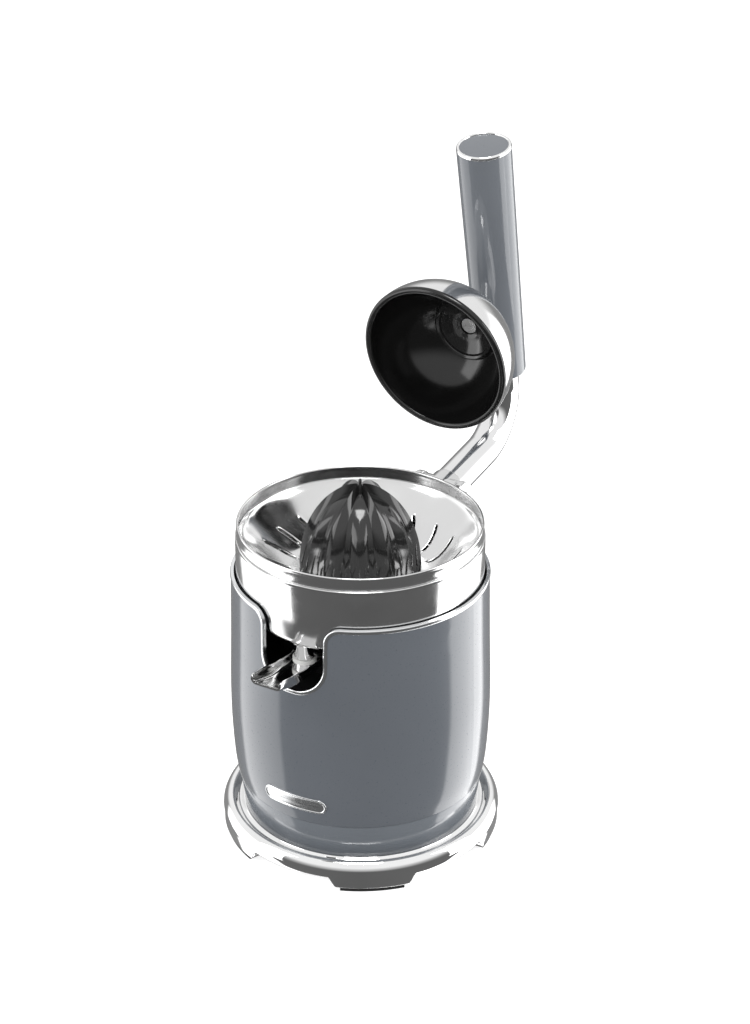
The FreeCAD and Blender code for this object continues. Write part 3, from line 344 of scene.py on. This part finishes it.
def base_casting():
    """The chrome ring: a groove round the collar, a rounded crest, and five feet in one skin with it."""
    crown = smooth_curve(scaled([(76.7, 17.95), (77.6, 17.2), (79.3, 16.5), (81.2, 18.0), (84.3, 20.5),
                                 (87.6, 19.2), (89.6, 15.6), (90.0, 13.2)]), 5)
    verts, columns = [], BASE_COLUMNS
    under, foot_z = BASE_UNDERSIDE_Z, BASE_FOOT_Z
    for k in range(columns):
        angle = 360.0 * k / columns
        edge = under + (foot_z - under) * foot_depth(angle)
        wall = scaled([(89.75, 11.2), (89.6, 9.9)])
        skirt = [(89.5 * MM, edge + 1.0 * MM), (89.3 * MM, edge + 0.4 * MM), (88.8 * MM, edge + 0.1 * MM),
                 (88.2 * MM, edge), (79.6 * MM, edge), (79.0 * MM, edge + 0.1 * MM),
                 (78.4 * MM, min(under, edge + 0.8 * MM)), (77.6 * MM, under), (70.0 * MM, under)]
        wall = [(r, max(z, edge + 1.2 * MM)) for r, z in wall]
        inside = scaled([(70.0, 14.2), (64.2, 14.2), (64.2, 18.0), (70.0, 18.0), (76.4, 18.0)])
        turn = math.radians(angle)
        for r, z in crown + wall + skirt + inside:
            verts.append(Vector((r * math.sin(turn), -r * math.cos(turn), z)))
    rows = len(verts) // columns
    faces = grid_faces(columns, rows, close_rows=True)
    return make_piece("base_casting", verts, faces, "base", CHROME, ["base_ring"], 50)


def collar():
    """The glossy band between the barrel and the chrome base."""
    outline = rounded([(73.6 * MM, COLLAR_Z, 0), (76.0 * MM, COLLAR_Z, 0.8 * MM),
                       (76.5 * MM, 25.0 * MM, 8 * MM), (77.6 * MM, 34.0 * MM, 20 * MM),
                       (78.7 * MM, 41.4 * MM, 0.7 * MM), (77.2 * MM, 41.7 * MM, 0),
                       (76.6 * MM, 46.8 * MM, 0.3 * MM), (74.4 * MM, 46.8 * MM, 0),
                       (74.4 * MM, 39.0 * MM, 0)])
    verts, faces = lathe(outline)
    return make_piece("collar_band", verts, faces, "base", MATERIALS["slate_gloss"],
                      ["base_collar"])


base_casting()
collar()


# ---- barrel trim and badge ----------------------------------------------------------------------
def barrel_radius(z):
    """The barrel's outer radius at a height, both in metres."""
    table = smooth_curve(scaled(SHELL_OUTLINE), 12)
    for (z0, r0), (z1, r1) in zip(table, table[1:]):
        if z <= z1:
            return r0 + (r1 - r0) * max(0.0, (z - z0) / (z1 - z0))
    return table[-1][1]


def on_barrel(x, z, proud=0.0):
    radius = barrel_radius(z) + proud
    return Vector((x, -math.sqrt(max(0.0, radius * radius - x * x)), z))


def opening_path():
    """The trim's middle line: round the notch, then round the barrel's top edge."""
    inset = TRIM_WIDTH / 2
    half, upper, lower = NOTCH_HALF_WIDTH + inset, NOTCH_TOP_FILLET - inset, NOTCH_BOTTOM_FILLET + inset
    bottom, top = NOTCH_Z + inset, SHELL_TOP_Z - inset
    side = [(0.0, bottom)]
    for k in range(25):
        turn = math.radians(-90 + 90 * k / 24)
        side.append((half - lower + lower * math.cos(turn), bottom + lower + lower * math.sin(turn)))
    for k in range(1, 16):
        side.append((half, bottom + lower + (top - upper - bottom - lower) * k / 16))
    for k in range(17):
        turn = math.radians(180 - 90 * k / 16)
        side.append((half + upper + upper * math.cos(turn), top - upper + upper * math.sin(turn)))
    right = [on_barrel(x, z) for x, z in side]
    radius = barrel_radius(top)
    first = math.asin((half + upper) / radius)
    steps = 300
    rim = []
    for k in range(1, steps):
        turn = first + (2 * math.pi - 2 * first) * k / steps
        rim.append(Vector((radius * math.sin(turn), -radius * math.cos(turn), top)))
    left = [Vector((-p.x, p.y, p.z)) for p in reversed(right[1:])]
    return right + rim + left


def edge_trim():
    """A bright, softly rounded bead along the barrel's top edge and notch."""
    path = opening_path()
    shape = [(-1.3, -1.9), (-1.3, 0.0), (-1.1, 0.22), (-0.65, 0.4), (0.0, 0.45), (0.65, 0.4), (1.1, 0.22),
             (1.3, 0.0), (1.3, -1.9)]
    sections = []
    for k, point in enumerate(path):
        along = (path[(k + 1) % len(path)] - path[k - 1]).normalized()
        out = Vector((point.x, point.y, 0)).normalized()
        across = along.cross(out).normalized()
        sections.append([point + across * (a * MM) + out * (b * MM) for a, b in shape])
    verts, faces = sweep(sections, True)
    return make_piece("shell_edge_trim", verts, faces, "base", MATERIALS["bright_trim"],
                      ["shell_trim"])


def pill(reach, radius, steps=16):
    """A pill-shaped outline of (x, z) round the origin, with points along its straight sides too."""
    out = []
    for side in (1, -1):
        for k in range(steps * 2):
            turn = math.radians(-90 + 180 * k / (steps * 2))
            out.append((side * (reach + radius * math.cos(turn)), side * radius * math.sin(turn)))
        for k in range(steps):
            out.append((side * reach * (1 - 2 * k / steps), side * radius))
    return out


def badge():
    """A blank pill-shaped plate: a raised rounded border round a lower field, both in the one badge metal."""
    lo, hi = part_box("badge_plate")
    centre_z, half_height = (lo.z + hi.z) / 2, (hi.z - lo.z) / 2
    reach = hi.x - half_height
    rings = [(1.0, -0.3), (1.0, 0.6), (0.97, 0.8), (0.92, 0.9), (0.86, 0.88), (0.80, 0.75), (0.76, 0.5),
             (0.70, 0.42), (0.35, 0.42), (0.02, 0.42)]
    verts = []
    for share, proud in rings:
        outline = pill(reach, half_height * share)
        verts += [on_barrel(x, centre_z + z, proud * MM) for x, z in outline]
    faces = grid_faces(len(rings), len(outline))
    return make_piece("blank_badge", verts, faces, "base", MATERIALS["badge"], ["badge_plate"], 50)


edge_trim()
badge()


# ---- strainer bowl ---------------------------------------------------------------------------------
SLOT_COUNT = 20
SLOT_INNER_R = 44.0 * MM
SLOT_OUTER_R = 62.5 * MM
SLOT_HALF_WIDTH = 0.95 * MM
SLOT_CURL = math.radians(7.0)
SHEET = 1.1 * MM


def finished(obj):
    """Apply an object's modifiers to its mesh."""
    graph = bpy.context.evaluated_depsgraph_get()
    mesh = bpy.data.meshes.new_from_object(obj.evaluated_get(graph))
    obj.modifiers.clear()
    obj.data = mesh
    return obj


def strainer_dish():
    """A dished sheet with curved radial slots, cut by leaving faces out of a polar grid."""
    floor = 182.3
    dish = [(14.4, 189.0), (14.5, 184.6), (15.4, 182.8), (17.5, floor), (28.0, floor), (40.0, floor),
            (43.9, 182.6), (46.5, 183.3), (49.5, 184.6), (53.0, 186.7), (57.0, 189.7), (60.5, 192.6),
            (62.6, 194.4), (66.0, 197.6), (70.0, 201.4), (73.4, 204.7), (75.4, 207.2), (76.3, 209.7)]
    profile = scaled(dish)
    between = 8
    pitch = 2 * math.pi / SLOT_COUNT
    verts = []
    for radius, z in profile:
        held = min(max(radius, SLOT_INNER_R), SLOT_OUTER_R)
        half = SLOT_HALF_WIDTH / held
        reach = (held - SLOT_INNER_R) / (SLOT_OUTER_R - SLOT_INNER_R)
        curl = SLOT_CURL * reach * reach
        for slot_index in range(SLOT_COUNT):
            middle = pitch * (slot_index + 0.5) + curl
            spare = pitch - 2 * half
            angles = [middle - half] + [middle + half + spare * k / between for k in range(between)]
            for angle in angles:
                verts.append(Vector((radius * math.cos(angle), radius * math.sin(angle), z)))
    columns = SLOT_COUNT * (between + 1)
    faces = []
    for i in range(len(profile) - 1):
        slotted = SLOT_INNER_R - 1e-4 <= profile[i][0] and profile[i + 1][0] <= SLOT_OUTER_R + 2e-4
        for j in range(columns):
            if slotted and j % (between + 1) == 0:
                continue
            j2 = (j + 1) % columns
            faces.append((i * columns + j, i * columns + j2, (i + 1) * columns + j2, (i + 1) * columns + j))
    obj = make_piece("strainer_dish", verts, faces, "strainer", MATERIALS["bowl_steel"],
                     ["strainer_bowl"], 60)
    thick = obj.modifiers.new("sheet", "SOLIDIFY")
    thick.thickness = SHEET
    thick.offset = -1 if obj.data.polygons[5].normal.z > 0 else 1
    soft = obj.modifiers.new("soft", "SUBSURF")
    soft.levels = 2
    return finished(obj)


def strainer_band():
    """The bowl's upright rim with a rolled bead along its top."""
    outline = smooth_curve(scaled([(76.3, 210.2), (76.8, 209.65), (77.3, 209.8), (77.5, 210.4), (77.3, 211.4),
                                   (77.2, 215.0), (77.35, 216.2), (77.5, 217.0), (77.3, 217.7), (76.8, 218.0),
                                   (76.2, 217.7), (76.0, 217.0), (76.2, 216.2), (76.3, 215.0), (76.3, 211.4),
                                   (76.3, 210.2)]), 4)
    verts, faces = lathe(outline[:-1], 320)
    return make_piece("strainer_band", verts, faces, "strainer",
                      MATERIALS["bowl_steel"], [], 60)


strainer_dish()
strainer_band()


# ---- juice collector ---------------------------------------------------------------------------------
def corner_arc(radius, z, size, start, end, steps=8):
    """Points (r, z) of a rounded corner about a centre given by radius and z; angles in degrees."""
    out = []
    for k in range(steps + 1):
        turn = math.radians(start + (end - start) * k / steps)
        out.append((radius + size * math.cos(turn), z + size * math.sin(turn)))
    return out


def collector():
    """The polished juice bowl: a rounded floor corner, a rolled top edge and a short centre tube."""
    low_corner, high_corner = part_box("juice_collector")
    outer, top = high_corner.x / MM, high_corner.z / MM
    floor, wall, corner = 164.5, 1.4, 7.0
    inner = outer - wall
    outline = [(9.6, 180.2), (9.6, floor + 1.2), (10.0, floor + 0.3), (10.8, floor)]
    outline += corner_arc(outer - corner, floor + corner, corner, -90, 0)
    outline += [(outer, top - 3.4), (outer - 0.35, top - 2.7), (outer - 0.35, top - 2.1)]
    outline += corner_arc(outer - wall / 2, top - wall / 2, wall / 2, 0, 180, 8)
    outline += [(inner, top - 3.0)]
    outline += corner_arc(outer - corner, floor + corner, corner - wall, 0, -90)
    outline += [(12.5, floor + wall), (11.4, floor + wall + 0.4), (11.0, floor + wall + 1.4), (11.0, 180.2)]
    outline += corner_arc(10.3, 180.3, 0.7, 0, 180, 6)
    verts, faces = lathe(scaled(outline), 320)
    make_piece("collector_bowl", verts, faces, "collector", MATERIALS["bowl_steel"],
               ["juice_collector"], 50)
    spout_y = -66.0 * MM
    foot_z = low_corner.z / MM
    tube = [(5.4, floor + 1.0), (5.4, foot_z + 0.4), (5.7, foot_z), (6.5, foot_z), (6.8, foot_z + 0.4),
            (6.8, floor - 1.6), (7.2, floor - 0.6), (8.4, floor + 0.2), (8.4, floor + 1.0)]
    verts, faces = lathe(scaled(tube), 96)
    make_piece("collector_outlet", move(verts, Matrix.Translation((0, spout_y, 0))), faces, "collector",
               STEEL)
    for side, name in ((-1, "left"), (1, "right")):
        pivot_y, pivot_z = SPOUT_PIVOT.y, SPOUT_PIVOT.z
        outline = [(pivot_y + 5.5 * MM, floor * MM + 0.6 * MM), (pivot_y - 5.5 * MM, floor * MM + 0.6 * MM),
                   (pivot_y - 3.9 * MM, floor * MM - 2.0 * MM)]
        outline += [(pivot_y + a * MM, pivot_z + b * MM) for a, b in corner_arc(0, 0, 3.6, 180, 360, 14)]
        outline += [(pivot_y + 3.9 * MM, floor * MM - 2.0 * MM)]
        inner_x, outer_x = SPOUT_HALF_WIDTH + 0.5 * MM, SPOUT_HALF_WIDTH + 2.0 * MM
        x0, x1 = (inner_x, outer_x) if side > 0 else (-outer_x, -inner_x)
        slab("collector_lug_" + name, outline, x0, x1, 0.35 * MM, "collector", STEEL)


def slab(name, outline, x0, x1, bevel, body, material, replaces=()):
    """A plate with the outline of (y, z) between two planes of x, with softened edges."""
    count = len(outline)
    verts = [Vector((x0, y, z)) for y, z in outline] + [Vector((x1, y, z)) for y, z in outline]
    faces = [tuple(range(count)), tuple(range(2 * count - 1, count - 1, -1))]
    faces += [(k, (k + 1) % count, count + (k + 1) % count, count + k) for k in range(count)]
    obj = make_piece(name, verts, faces, body, material, replaces, 30)
    soft = obj.modifiers.new("soft", "BEVEL")
    soft.width = bevel
    soft.segments = 3
    soft.limit_method = "ANGLE"
    soft.angle_limit = math.radians(28)
    soft.harden_normals = False
    return finished(obj)


def spout():
    """A sheet-metal trough: rounded floor corners, rolled top edges and a lip that kicks up and flares."""
    stations = [(-53.0, 146.4, 152.2, 10.6), (-60.0, 146.5, 152.5, 11.0), (-72.0, 146.7, 153.2, 11.0),
                (-84.0, 147.0, 154.6, 11.0), (-90.0, 147.4, 156.0, 11.0), (-96.0, 148.6, 157.3, 11.0),
                (-102.0, 150.4, 158.2, 11.0), (-106.5, 151.7, 158.7, 11.0), (-109.3, 152.5, 158.6, 10.9),
                (-110.0, 152.8, 158.0, 10.7)]
    sheet = SPOUT_SHEET / MM
    sections = []
    for y, floor, rim, half in stations:
        outer, inner = [], []
        corner = 3.4
        outer += [(-half, rim - 0.3), (-half, (rim + floor) / 2)]
        outer += corner_arc(-half + corner, floor + corner, corner, 180, 270, 7)
        outer += [(-x, z) for x, z in reversed(outer)]
        inner += [(-half + sheet, rim - 0.3), (-half + sheet, (rim + floor) / 2)]
        inner += corner_arc(-half + corner, floor + corner, corner - sheet, 180, 270, 7)
        inner += [(-x, z) for x, z in reversed(inner)]
        tip = [(half - sheet * 0.15, rim - 0.05), (half - sheet * 0.5, rim),
               (half - sheet * 0.85, rim - 0.05)]
        other_tip = [(-x, z) for x, z in reversed(tip)]
        ring = outer + tip + list(reversed(inner)) + other_tip
        sections.append([Vector((x * MM, y * MM, z * MM)) for x, z in ring])
    count = len(sections[0])
    verts = [point for section in sections for point in section]
    faces = grid_faces(len(sections), count)
    reach = len(outer)
    for base in (0, (len(sections) - 1) * count):
        for k in range(reach - 1):
            far = count - 4 - k
            faces.append((base + k, base + k + 1, base + far - 1, base + far))
        left = [base + k for k in range(count - 4, count)]
        faces.append(tuple(left + [base]))
        faces.append(tuple(base + k for k in range(reach - 1, reach + 4)))
    return make_piece("spout_sheet", verts, faces, "spout", STEEL, ["spout_trough"], 40)


collector()
spout()


# ---- reamer ------------------------------------------------------------------------------------------
MAIN_RIBS = 6


def rib_height(angle, height):
    """Rib relief from 0 in the valleys to 1 on a crest; extra ribs start below, full ones reach the tip."""
    def crest(count, phase, width):
        offset = (angle + phase) * count / (2 * math.pi)
        away = abs(offset - round(offset)) * 2
        return max(0.0, 1 - away / width) ** 0.8
    main = crest(MAIN_RIBS, 0.0, 0.42)
    second = crest(MAIN_RIBS, math.pi / MAIN_RIBS, 0.36) * max(0.0, min(1.0, (0.80 - height) / 0.22))
    small = crest(MAIN_RIBS * 2, math.pi / MAIN_RIBS / 2, 0.5) * max(0.0, min(1.0, (0.42 - height) / 0.2))
    return max(main, second * 0.85, small * 0.6)


def reamer():
    """The ribbed cone: sharp full-height fins that gather in a thin tip, with shorter fins between them."""
    envelope = smooth_curve([(38.4, 185.0), (38.3, 188.0), (37.9, 193.5), (36.6, 203.5), (33.6, 214.0),
                             (28.9, 224.0), (22.2, 233.0), (15.0, 239.0), (9.0, 242.2),
                             (4.5, 243.3), (2.0, 243.5)], 9)
    bottom, top = envelope[0][1], envelope[-1][1]
    count = 720
    verts = []
    for radius, z in envelope:
        height = (z - bottom) / (top - bottom)
        depth = 5.2 * min(1.0, height / 0.06) * (1 - 0.3 * height)
        depth = min(depth, radius * 0.62)
        sink = 5.5 * max(0.0, (height - 0.6) / 0.4) ** 2
        for k in range(count):
            angle = 2 * math.pi * k / count
            relief = 1 - rib_height(angle, height)
            r = (radius - depth * relief) * MM
            verts.append(Vector((r * math.sin(angle), -r * math.cos(angle), (z - sink * relief) * MM)))
    faces = grid_faces(len(envelope), count)
    faces.append(tuple(range(count)))
    last = (len(envelope) - 1) * count
    faces.append(tuple(last + k for k in reversed(range(count))))
    make_piece("ribbed_reamer", verts, faces, "cone", MATERIALS["reamer_black"],
               ["reamer_cone"], 32)
    spike = smooth_curve([(0.05 * MM, 236 * MM), (3.4 * MM, 236 * MM), (2.6 * MM, 240.5 * MM),
                          (1.5 * MM, 244 * MM), (0.9 * MM, CONE_TOP_Z - 0.8 * MM),
                          (0.5 * MM, CONE_TOP_Z - 0.1 * MM),
                          (0.05 * MM, CONE_TOP_Z)], 5)
    verts, faces = lathe(spike, 48)
    make_piece("reamer_tip", verts, faces, "cone", MATERIALS["reamer_black"])


reamer()


# ---- press arm ------------------------------------------------------------------------------------------
CORNER = HINGE + Vector((0, 0, CORNER_RISE))
HANDLE_DIRECTION = Vector((0, -math.cos(HANDLE_DROOP), -math.sin(HANDLE_DROOP)))
SWING_OPEN = (Matrix.Translation(HINGE) @ Matrix.Rotation(-OPEN_ANGLE, 4, "X") @ Matrix.Translation(-HINGE))
TURN_TO_HANDLE = Vector((0, 0, 1)).rotation_difference(HANDLE_DIRECTION)
TO_HANDLE = Matrix.Translation(CORNER) @ TURN_TO_HANDLE.to_matrix().to_4x4()


def arm_lathe(name, outline, material, replaces, handle=False, segments=160, sharp=40):
    """A turned piece of the arm, drawn in the closed pose and swung open."""
    verts, faces = lathe(outline, segments)
    matrix = SWING_OPEN @ TO_HANDLE if handle else SWING_OPEN
    return make_piece(name, move(verts, matrix), faces, "arm", material, replaces, sharp)


def arm_centre_line():
    turn = math.radians(90) + HANDLE_DROOP
    tangent = BEND_R * math.tan(turn / 2)
    start = HINGE + Vector((0, 0, TUBE_START))
    bend_start = CORNER - Vector((0, 0, tangent))
    centre = bend_start + Vector((0, -BEND_R, 0))
    points = [start, start.lerp(bend_start, 0.5)]
    steps = 40
    for k in range(steps + 1):
        angle = turn * k / steps
        points.append(centre + Vector((0, BEND_R * math.cos(angle), BEND_R * math.sin(angle))))
    for distance in (0.3, 0.6, 1.0):
        points.append(CORNER + HANDLE_DIRECTION * (tangent + (GRIP_END - 8 * MM - tangent) * distance))
    return points


def arm_tube():
    path = arm_centre_line()
    sections, sides = [], 64
    for k, point in enumerate(path):
        along = (path[min(k + 1, len(path) - 1)] - path[max(k - 1, 0)]).normalized()
        across = Vector((1, 0, 0))
        up = along.cross(across).normalized()
        ring = []
        for i in range(sides):
            turn = 2 * math.pi * i / sides
            ring.append(point + (across * math.cos(turn) + up * math.sin(turn)) * TUBE_R)
        sections.append(ring)
    verts, faces = sweep(sections, False)
    return make_piece("bent_arm_tube", move(verts, SWING_OPEN), faces, "arm",
                      MATERIALS["tube_steel"], ["arm_tube"], 50)


def grip():
    end = GRIP_END
    outline = rounded([(TUBE_R + 0.1 * MM, GRIP_START, 0), (GRIP_R_START, GRIP_START, 1.4 * MM),
                       (GRIP_R_END, end, 0.3 * MM), (TUBE_R + 0.1 * MM, end, 0)], 8)
    arm_lathe("handle_grip", outline, MATERIALS["slate_grip"], ["grip_sleeve"], handle=True)
    edge = GRIP_R_END
    ring_shape = smooth_curve([(edge - 2.2 * MM, end + 0.1 * MM), (edge - 0.1 * MM, end + 0.1 * MM),
                               (edge, end + 0.8 * MM), (edge - 0.35 * MM, end + 1.7 * MM),
                               (edge - 1.1 * MM, end + 2.2 * MM), (edge - 1.9 * MM, end + 1.9 * MM),
                               (edge - 2.2 * MM, end + 1.2 * MM)], 5)
    arm_lathe("grip_cap_ring", ring_shape, CHROME, ["grip_end_ring"], handle=True)
    face = smooth_curve([(edge - 2.1 * MM, end), (edge - 2.15 * MM, end + 1.0 * MM),
                         (edge - 3.2 * MM, end + 1.25 * MM), (edge * 0.4, end + 1.45 * MM),
                         (0.2 * MM, end + 1.5 * MM)], 6)
    cap = [(0.2 * MM, end - 2 * MM)] + face
    arm_lathe("grip_cap", cap, MATERIALS["slate_grip"], ["grip_end_cap"], handle=True)


def arc_points(radius, start, end, steps, centre_z):
    """Points of (radius, z) on a circle about the dome's centre; angles in degrees from the rim plane."""
    out = []
    for k in range(steps + 1):
        turn = math.radians(start + (end - start) * k / steps)
        out.append((max(radius * math.cos(turn), 0.05 * MM), centre_z + radius * math.sin(turn)))
    return out


def dome():
    """The steel dome, its black lining with a rolled lip, and the cup inside it."""
    rim = DOME_RIM_Z
    steel = arc_points(DOME_R, 1.5, 89.9, 40, rim) + arc_points(DOME_R - DOME_WALL, 89.9, 1.5, 40, rim)
    arm_lathe("dome_steel", steel, MATERIALS["dome_steel"], ["dome_shell"], segments=256)
    outer, inner = DOME_R - DOME_WALL, DOME_R - DOME_WALL - LINER_WALL
    lip = smooth_curve([(inner, rim + 0.6 * MM), (inner + 0.1 * MM, rim - 0.5 * MM),
                        (inner + 1.0 * MM, rim - 1.4 * MM), (inner + 2.4 * MM, rim - 1.6 * MM),
                        (DOME_R - 0.7 * MM, rim - 1.2 * MM),
                        (DOME_R - 0.05 * MM, rim - 0.2 * MM), (DOME_R, rim + 0.9 * MM),
                        (outer, rim + 1.0 * MM)], 5)
    liner = lip + arc_points(outer - 0.05 * MM, 2, 89.9, 30, rim) + arc_points(inner, 89.9, 2, 60, rim)
    arm_lathe("dome_lining", liner, MATERIALS["black_gloss"], ["dome_liner"], segments=256)
    seat = inner - 0.05 * MM
    edge = math.degrees(math.acos(23.0 * MM / seat))
    cup = arc_points(seat, edge, 82, 24, rim)
    cup += [(r * 0.95, z) for r, z in arc_points(seat - 2.4 * MM, 82, 78, 3, rim)]
    cup += arc_points(seat - 2.2 * MM, 76, edge + 5, 20, rim)
    cup += arc_points(seat - 3.2 * MM, edge + 3.5, edge + 1.2, 4, rim)
    arm_lathe("press_pad", cup, MATERIALS["reamer_black"], ["press_cup"], segments=192)


def hinge_bracket():
    """Two cheeks with rounded tops for the hinge pin, on a slightly slimmer web that hugs the barrel."""
    pin_y, pin_z = HINGE.y / MM, HINGE.z / MM
    radius = EAR_R / MM
    ear = [(81.3, 92.0), (97.0, 92.0), (100.5, 94.0), (108.0, 110.0)]
    ear += [(pin_y + a, pin_z + b) for a, b in corner_arc(0, 0, radius, 0, 180, 28)]
    ear += [(pin_y - radius, 186.0), (81.3, 180.0)]
    gap, wall = EAR_GAP, EAR_WALL
    slab("hinge_cheek_right", scaled(ear), gap, gap + wall, 1.2 * MM, "base", STEEL)
    slab("hinge_cheek_left", scaled(ear), -gap - wall, -gap, 1.2 * MM, "base", STEEL)
    web = [(81.3, 94.0), (96.5, 94.0), (99.0, 95.5), (106.6, 111.5), (110.6, 172.0), (109.5, 176.6),
           (105.5, 178.6), (81.3, 178.6)]
    slab("hinge_web", scaled(web), -gap - 0.6 * MM, gap + 0.6 * MM, 1.0 * MM, "base", STEEL,
         ["hinge_bracket"])


def hinge_knuckle():
    """The arm's turning barrel and the collar that the tube is set into."""
    half = EAR_GAP - 0.4 * MM
    radius = EAR_R - 0.8 * MM
    bore = 6.0 * MM
    barrel = rounded([(bore, -half, 0), (radius, -half, 1.0 * MM), (radius, half, 1.0 * MM),
                      (bore, half, 0)], 6)
    verts, faces = lathe(barrel, 128)
    across = Matrix.Translation(HINGE) @ Matrix.Rotation(math.radians(90), 4, "Y")
    make_piece("knuckle_barrel", move(verts, SWING_OPEN @ across), faces, "arm", STEEL,
               ["hinge_knuckle"])
    wide = TUBE_R + 1.0 * MM
    top = HINGE.z + TUBE_START
    collar_shape = rounded([(2.0 * MM, HINGE.z, 0), (wide, HINGE.z, 0.1 * MM),
                            (wide, top - 0.2 * MM, 1.1 * MM), (TUBE_R - 0.6 * MM, top + 0.1 * MM, 0),
                            (2.0 * MM, top + 0.1 * MM, 0)], 6)
    verts, faces = lathe(collar_shape, 128)
    make_piece("knuckle_collar", move(verts, SWING_OPEN @ Matrix.Translation((0, HINGE.y, 0))), faces, "arm",
               STEEL)


arm_tube()
grip()
dome()
hinge_bracket()
hinge_knuckle()


# ---- camera, lights and floor --------------------------------------------------------------------------
def aim(obj, point):
    obj.rotation_euler = (Vector(point) - obj.location).to_track_quat("-Z", "Y").to_euler()


def camera():
    azimuth, elevation, distance = math.radians(31.0), math.radians(27.11), 1.7
    right = Vector((math.cos(azimuth), math.sin(azimuth), 0))
    back = Vector((math.sin(azimuth) * math.cos(elevation), -math.cos(azimuth) * math.cos(elevation),
                   math.sin(elevation)))
    target = Vector((0, 0, 0.22362)) + right * 0.00919
    data = bpy.data.cameras.new("camera")
    data.sensor_fit = "VERTICAL"
    data.sensor_height = 36.0
    data.lens = 96.1
    obj = bpy.data.objects.new("camera", data)
    bpy.context.scene.collection.objects.link(obj)
    obj.location = target + back * distance
    aim(obj, target)
    bpy.context.scene.camera = obj
    return right, back


def area_light(name, location, size, power, target=(0, 0, 0.15)):
    data = bpy.data.lights.new(name, "AREA")
    data.shape = "RECTANGLE"
    data.size, data.size_y = size
    data.energy = power
    obj = bpy.data.objects.new(name, data)
    bpy.context.scene.collection.objects.link(obj)
    obj.location = location
    aim(obj, target)
    return obj


def world_direction(nodes, links, azimuth):
    """The direction a ray looks in, turned so that the fixed front view is mid-way in a radial gradient."""
    place = nodes.new("ShaderNodeTexCoord")
    turn = nodes.new("ShaderNodeMapping")
    turn.vector_type = "VECTOR"
    turn.inputs["Rotation"].default_value = (0, 0, -azimuth)
    links.new(place.outputs["Generated"], turn.inputs["Vector"])
    return turn.outputs["Vector"]


def studio_panels(nodes, links, direction):
    """Brightness round the horizon: dark in front and behind, with a tall soft box on each side."""
    radial = nodes.new("ShaderNodeTexGradient")
    radial.gradient_type = "RADIAL"
    links.new(direction, radial.inputs["Vector"])
    panels = nodes.new("ShaderNodeValToRGB")
    stops = [(0.00, 0.25), (0.125, 0.28), (0.142, 2.0), (0.285, 1.6), (0.297, 0.14), (0.50, 0.12),
             (0.733, 0.14), (0.745, 2.6), (0.872, 3.2), (0.890, 0.28)]
    ramp_elements = panels.color_ramp.elements
    for k, (place, level) in enumerate(stops):
        stop = ramp_elements[k] if k < 2 else ramp_elements.new(place)
        stop.position = place
        stop.color = (level, level, level, 1)
    links.new(radial.outputs["Color"], panels.inputs["Fac"])
    return panels.outputs["Color"]


SKY_LEVEL = 0.95


def studio_sky(nodes, links, direction, horizon):
    """Above the horizon the studio turns white, mostly behind the object."""
    parts = nodes.new("ShaderNodeSeparateXYZ")
    links.new(direction, parts.inputs["Vector"])
    height = nodes.new("ShaderNodeMapRange")
    height.interpolation_type = "SMOOTHSTEP"
    height.inputs["From Min"].default_value = 0.02
    height.inputs["From Max"].default_value = 0.42
    links.new(parts.outputs["Z"], height.inputs["Value"])
    blend = nodes.new("ShaderNodeMix")
    blend.data_type = "RGBA"
    links.new(height.outputs["Result"], blend.inputs["Factor"])
    links.new(horizon, blend.inputs["A"])
    blend.inputs["B"].default_value = (SKY_LEVEL, SKY_LEVEL, SKY_LEVEL, 1)
    return blend.outputs["Result"]


def studio():
    """Three soft boxes and a plain white world with panels that only reflections see."""
    right, back = camera()
    level = Vector((back.x, back.y, 0)).normalized()
    up = Vector((0, 0, 1))
    area_light("left_box", -right * 1.1 + level * 0.35 + up * 0.35, (0.5, 1.5), 6)
    area_light("right_box", right * 1.1 + level * 0.15 + up * 0.35, (0.5, 1.5), 8)
    area_light("top_box", up * 1.7 + level * 0.25, (0.5, 0.5), 9)
    world = bpy.data.worlds.new("studio")
    world.use_nodes = True
    nodes, links = world.node_tree.nodes, world.node_tree.links
    shade = nodes["Background"]
    direction = world_direction(nodes, links, math.atan2(level.y, level.x))
    surroundings = studio_sky(nodes, links, direction, studio_panels(nodes, links, direction))
    paths = nodes.new("ShaderNodeLightPath")
    seen = nodes.new("ShaderNodeMix")
    seen.data_type = "RGBA"
    links.new(paths.outputs["Is Camera Ray"], seen.inputs["Factor"])
    links.new(surroundings, seen.inputs["A"])
    seen.inputs["B"].default_value = (1, 1, 1, 1)
    links.new(seen.outputs["Result"], shade.inputs["Color"])
    shade.inputs["Strength"].default_value = 1.0
    bpy.context.scene.world = world
    bpy.context.scene.view_settings.view_transform = "Standard"


def floor():
    """A plain white sweep that glows a little, so that it stays pale in the object's shade."""
    material, nodes, links, shader = new_material("studio_floor")
    speckle = noise(nodes, links, 40.0)
    shade = ramp(nodes, links, speckle, (0.62, 0.62, 0.62), (0.64, 0.64, 0.64))
    links.new(shade, shader.inputs["Base Color"])
    shader.inputs["Roughness"].default_value = 0.9
    shader.inputs["Specular IOR Level"].default_value = 0.0
    shader.inputs["Emission Color"].default_value = (1, 1, 1, 1)
    shader.inputs["Emission Strength"].default_value = 0.72
    mesh = bpy.data.meshes.new("studio_floor")
    reach = 30.0
    corners = [(-reach, -reach, 0), (reach, -reach, 0), (reach, reach, 0), (-reach, reach, 0)]
    mesh.from_pydata(corners, [], [(0, 1, 2, 3)])
    mesh.materials.append(material)
    obj = bpy.data.objects.new("studio_floor", mesh)
    bpy.context.scene.collection.objects.link(obj)
    obj.visible_glossy = False


studio()
floor()
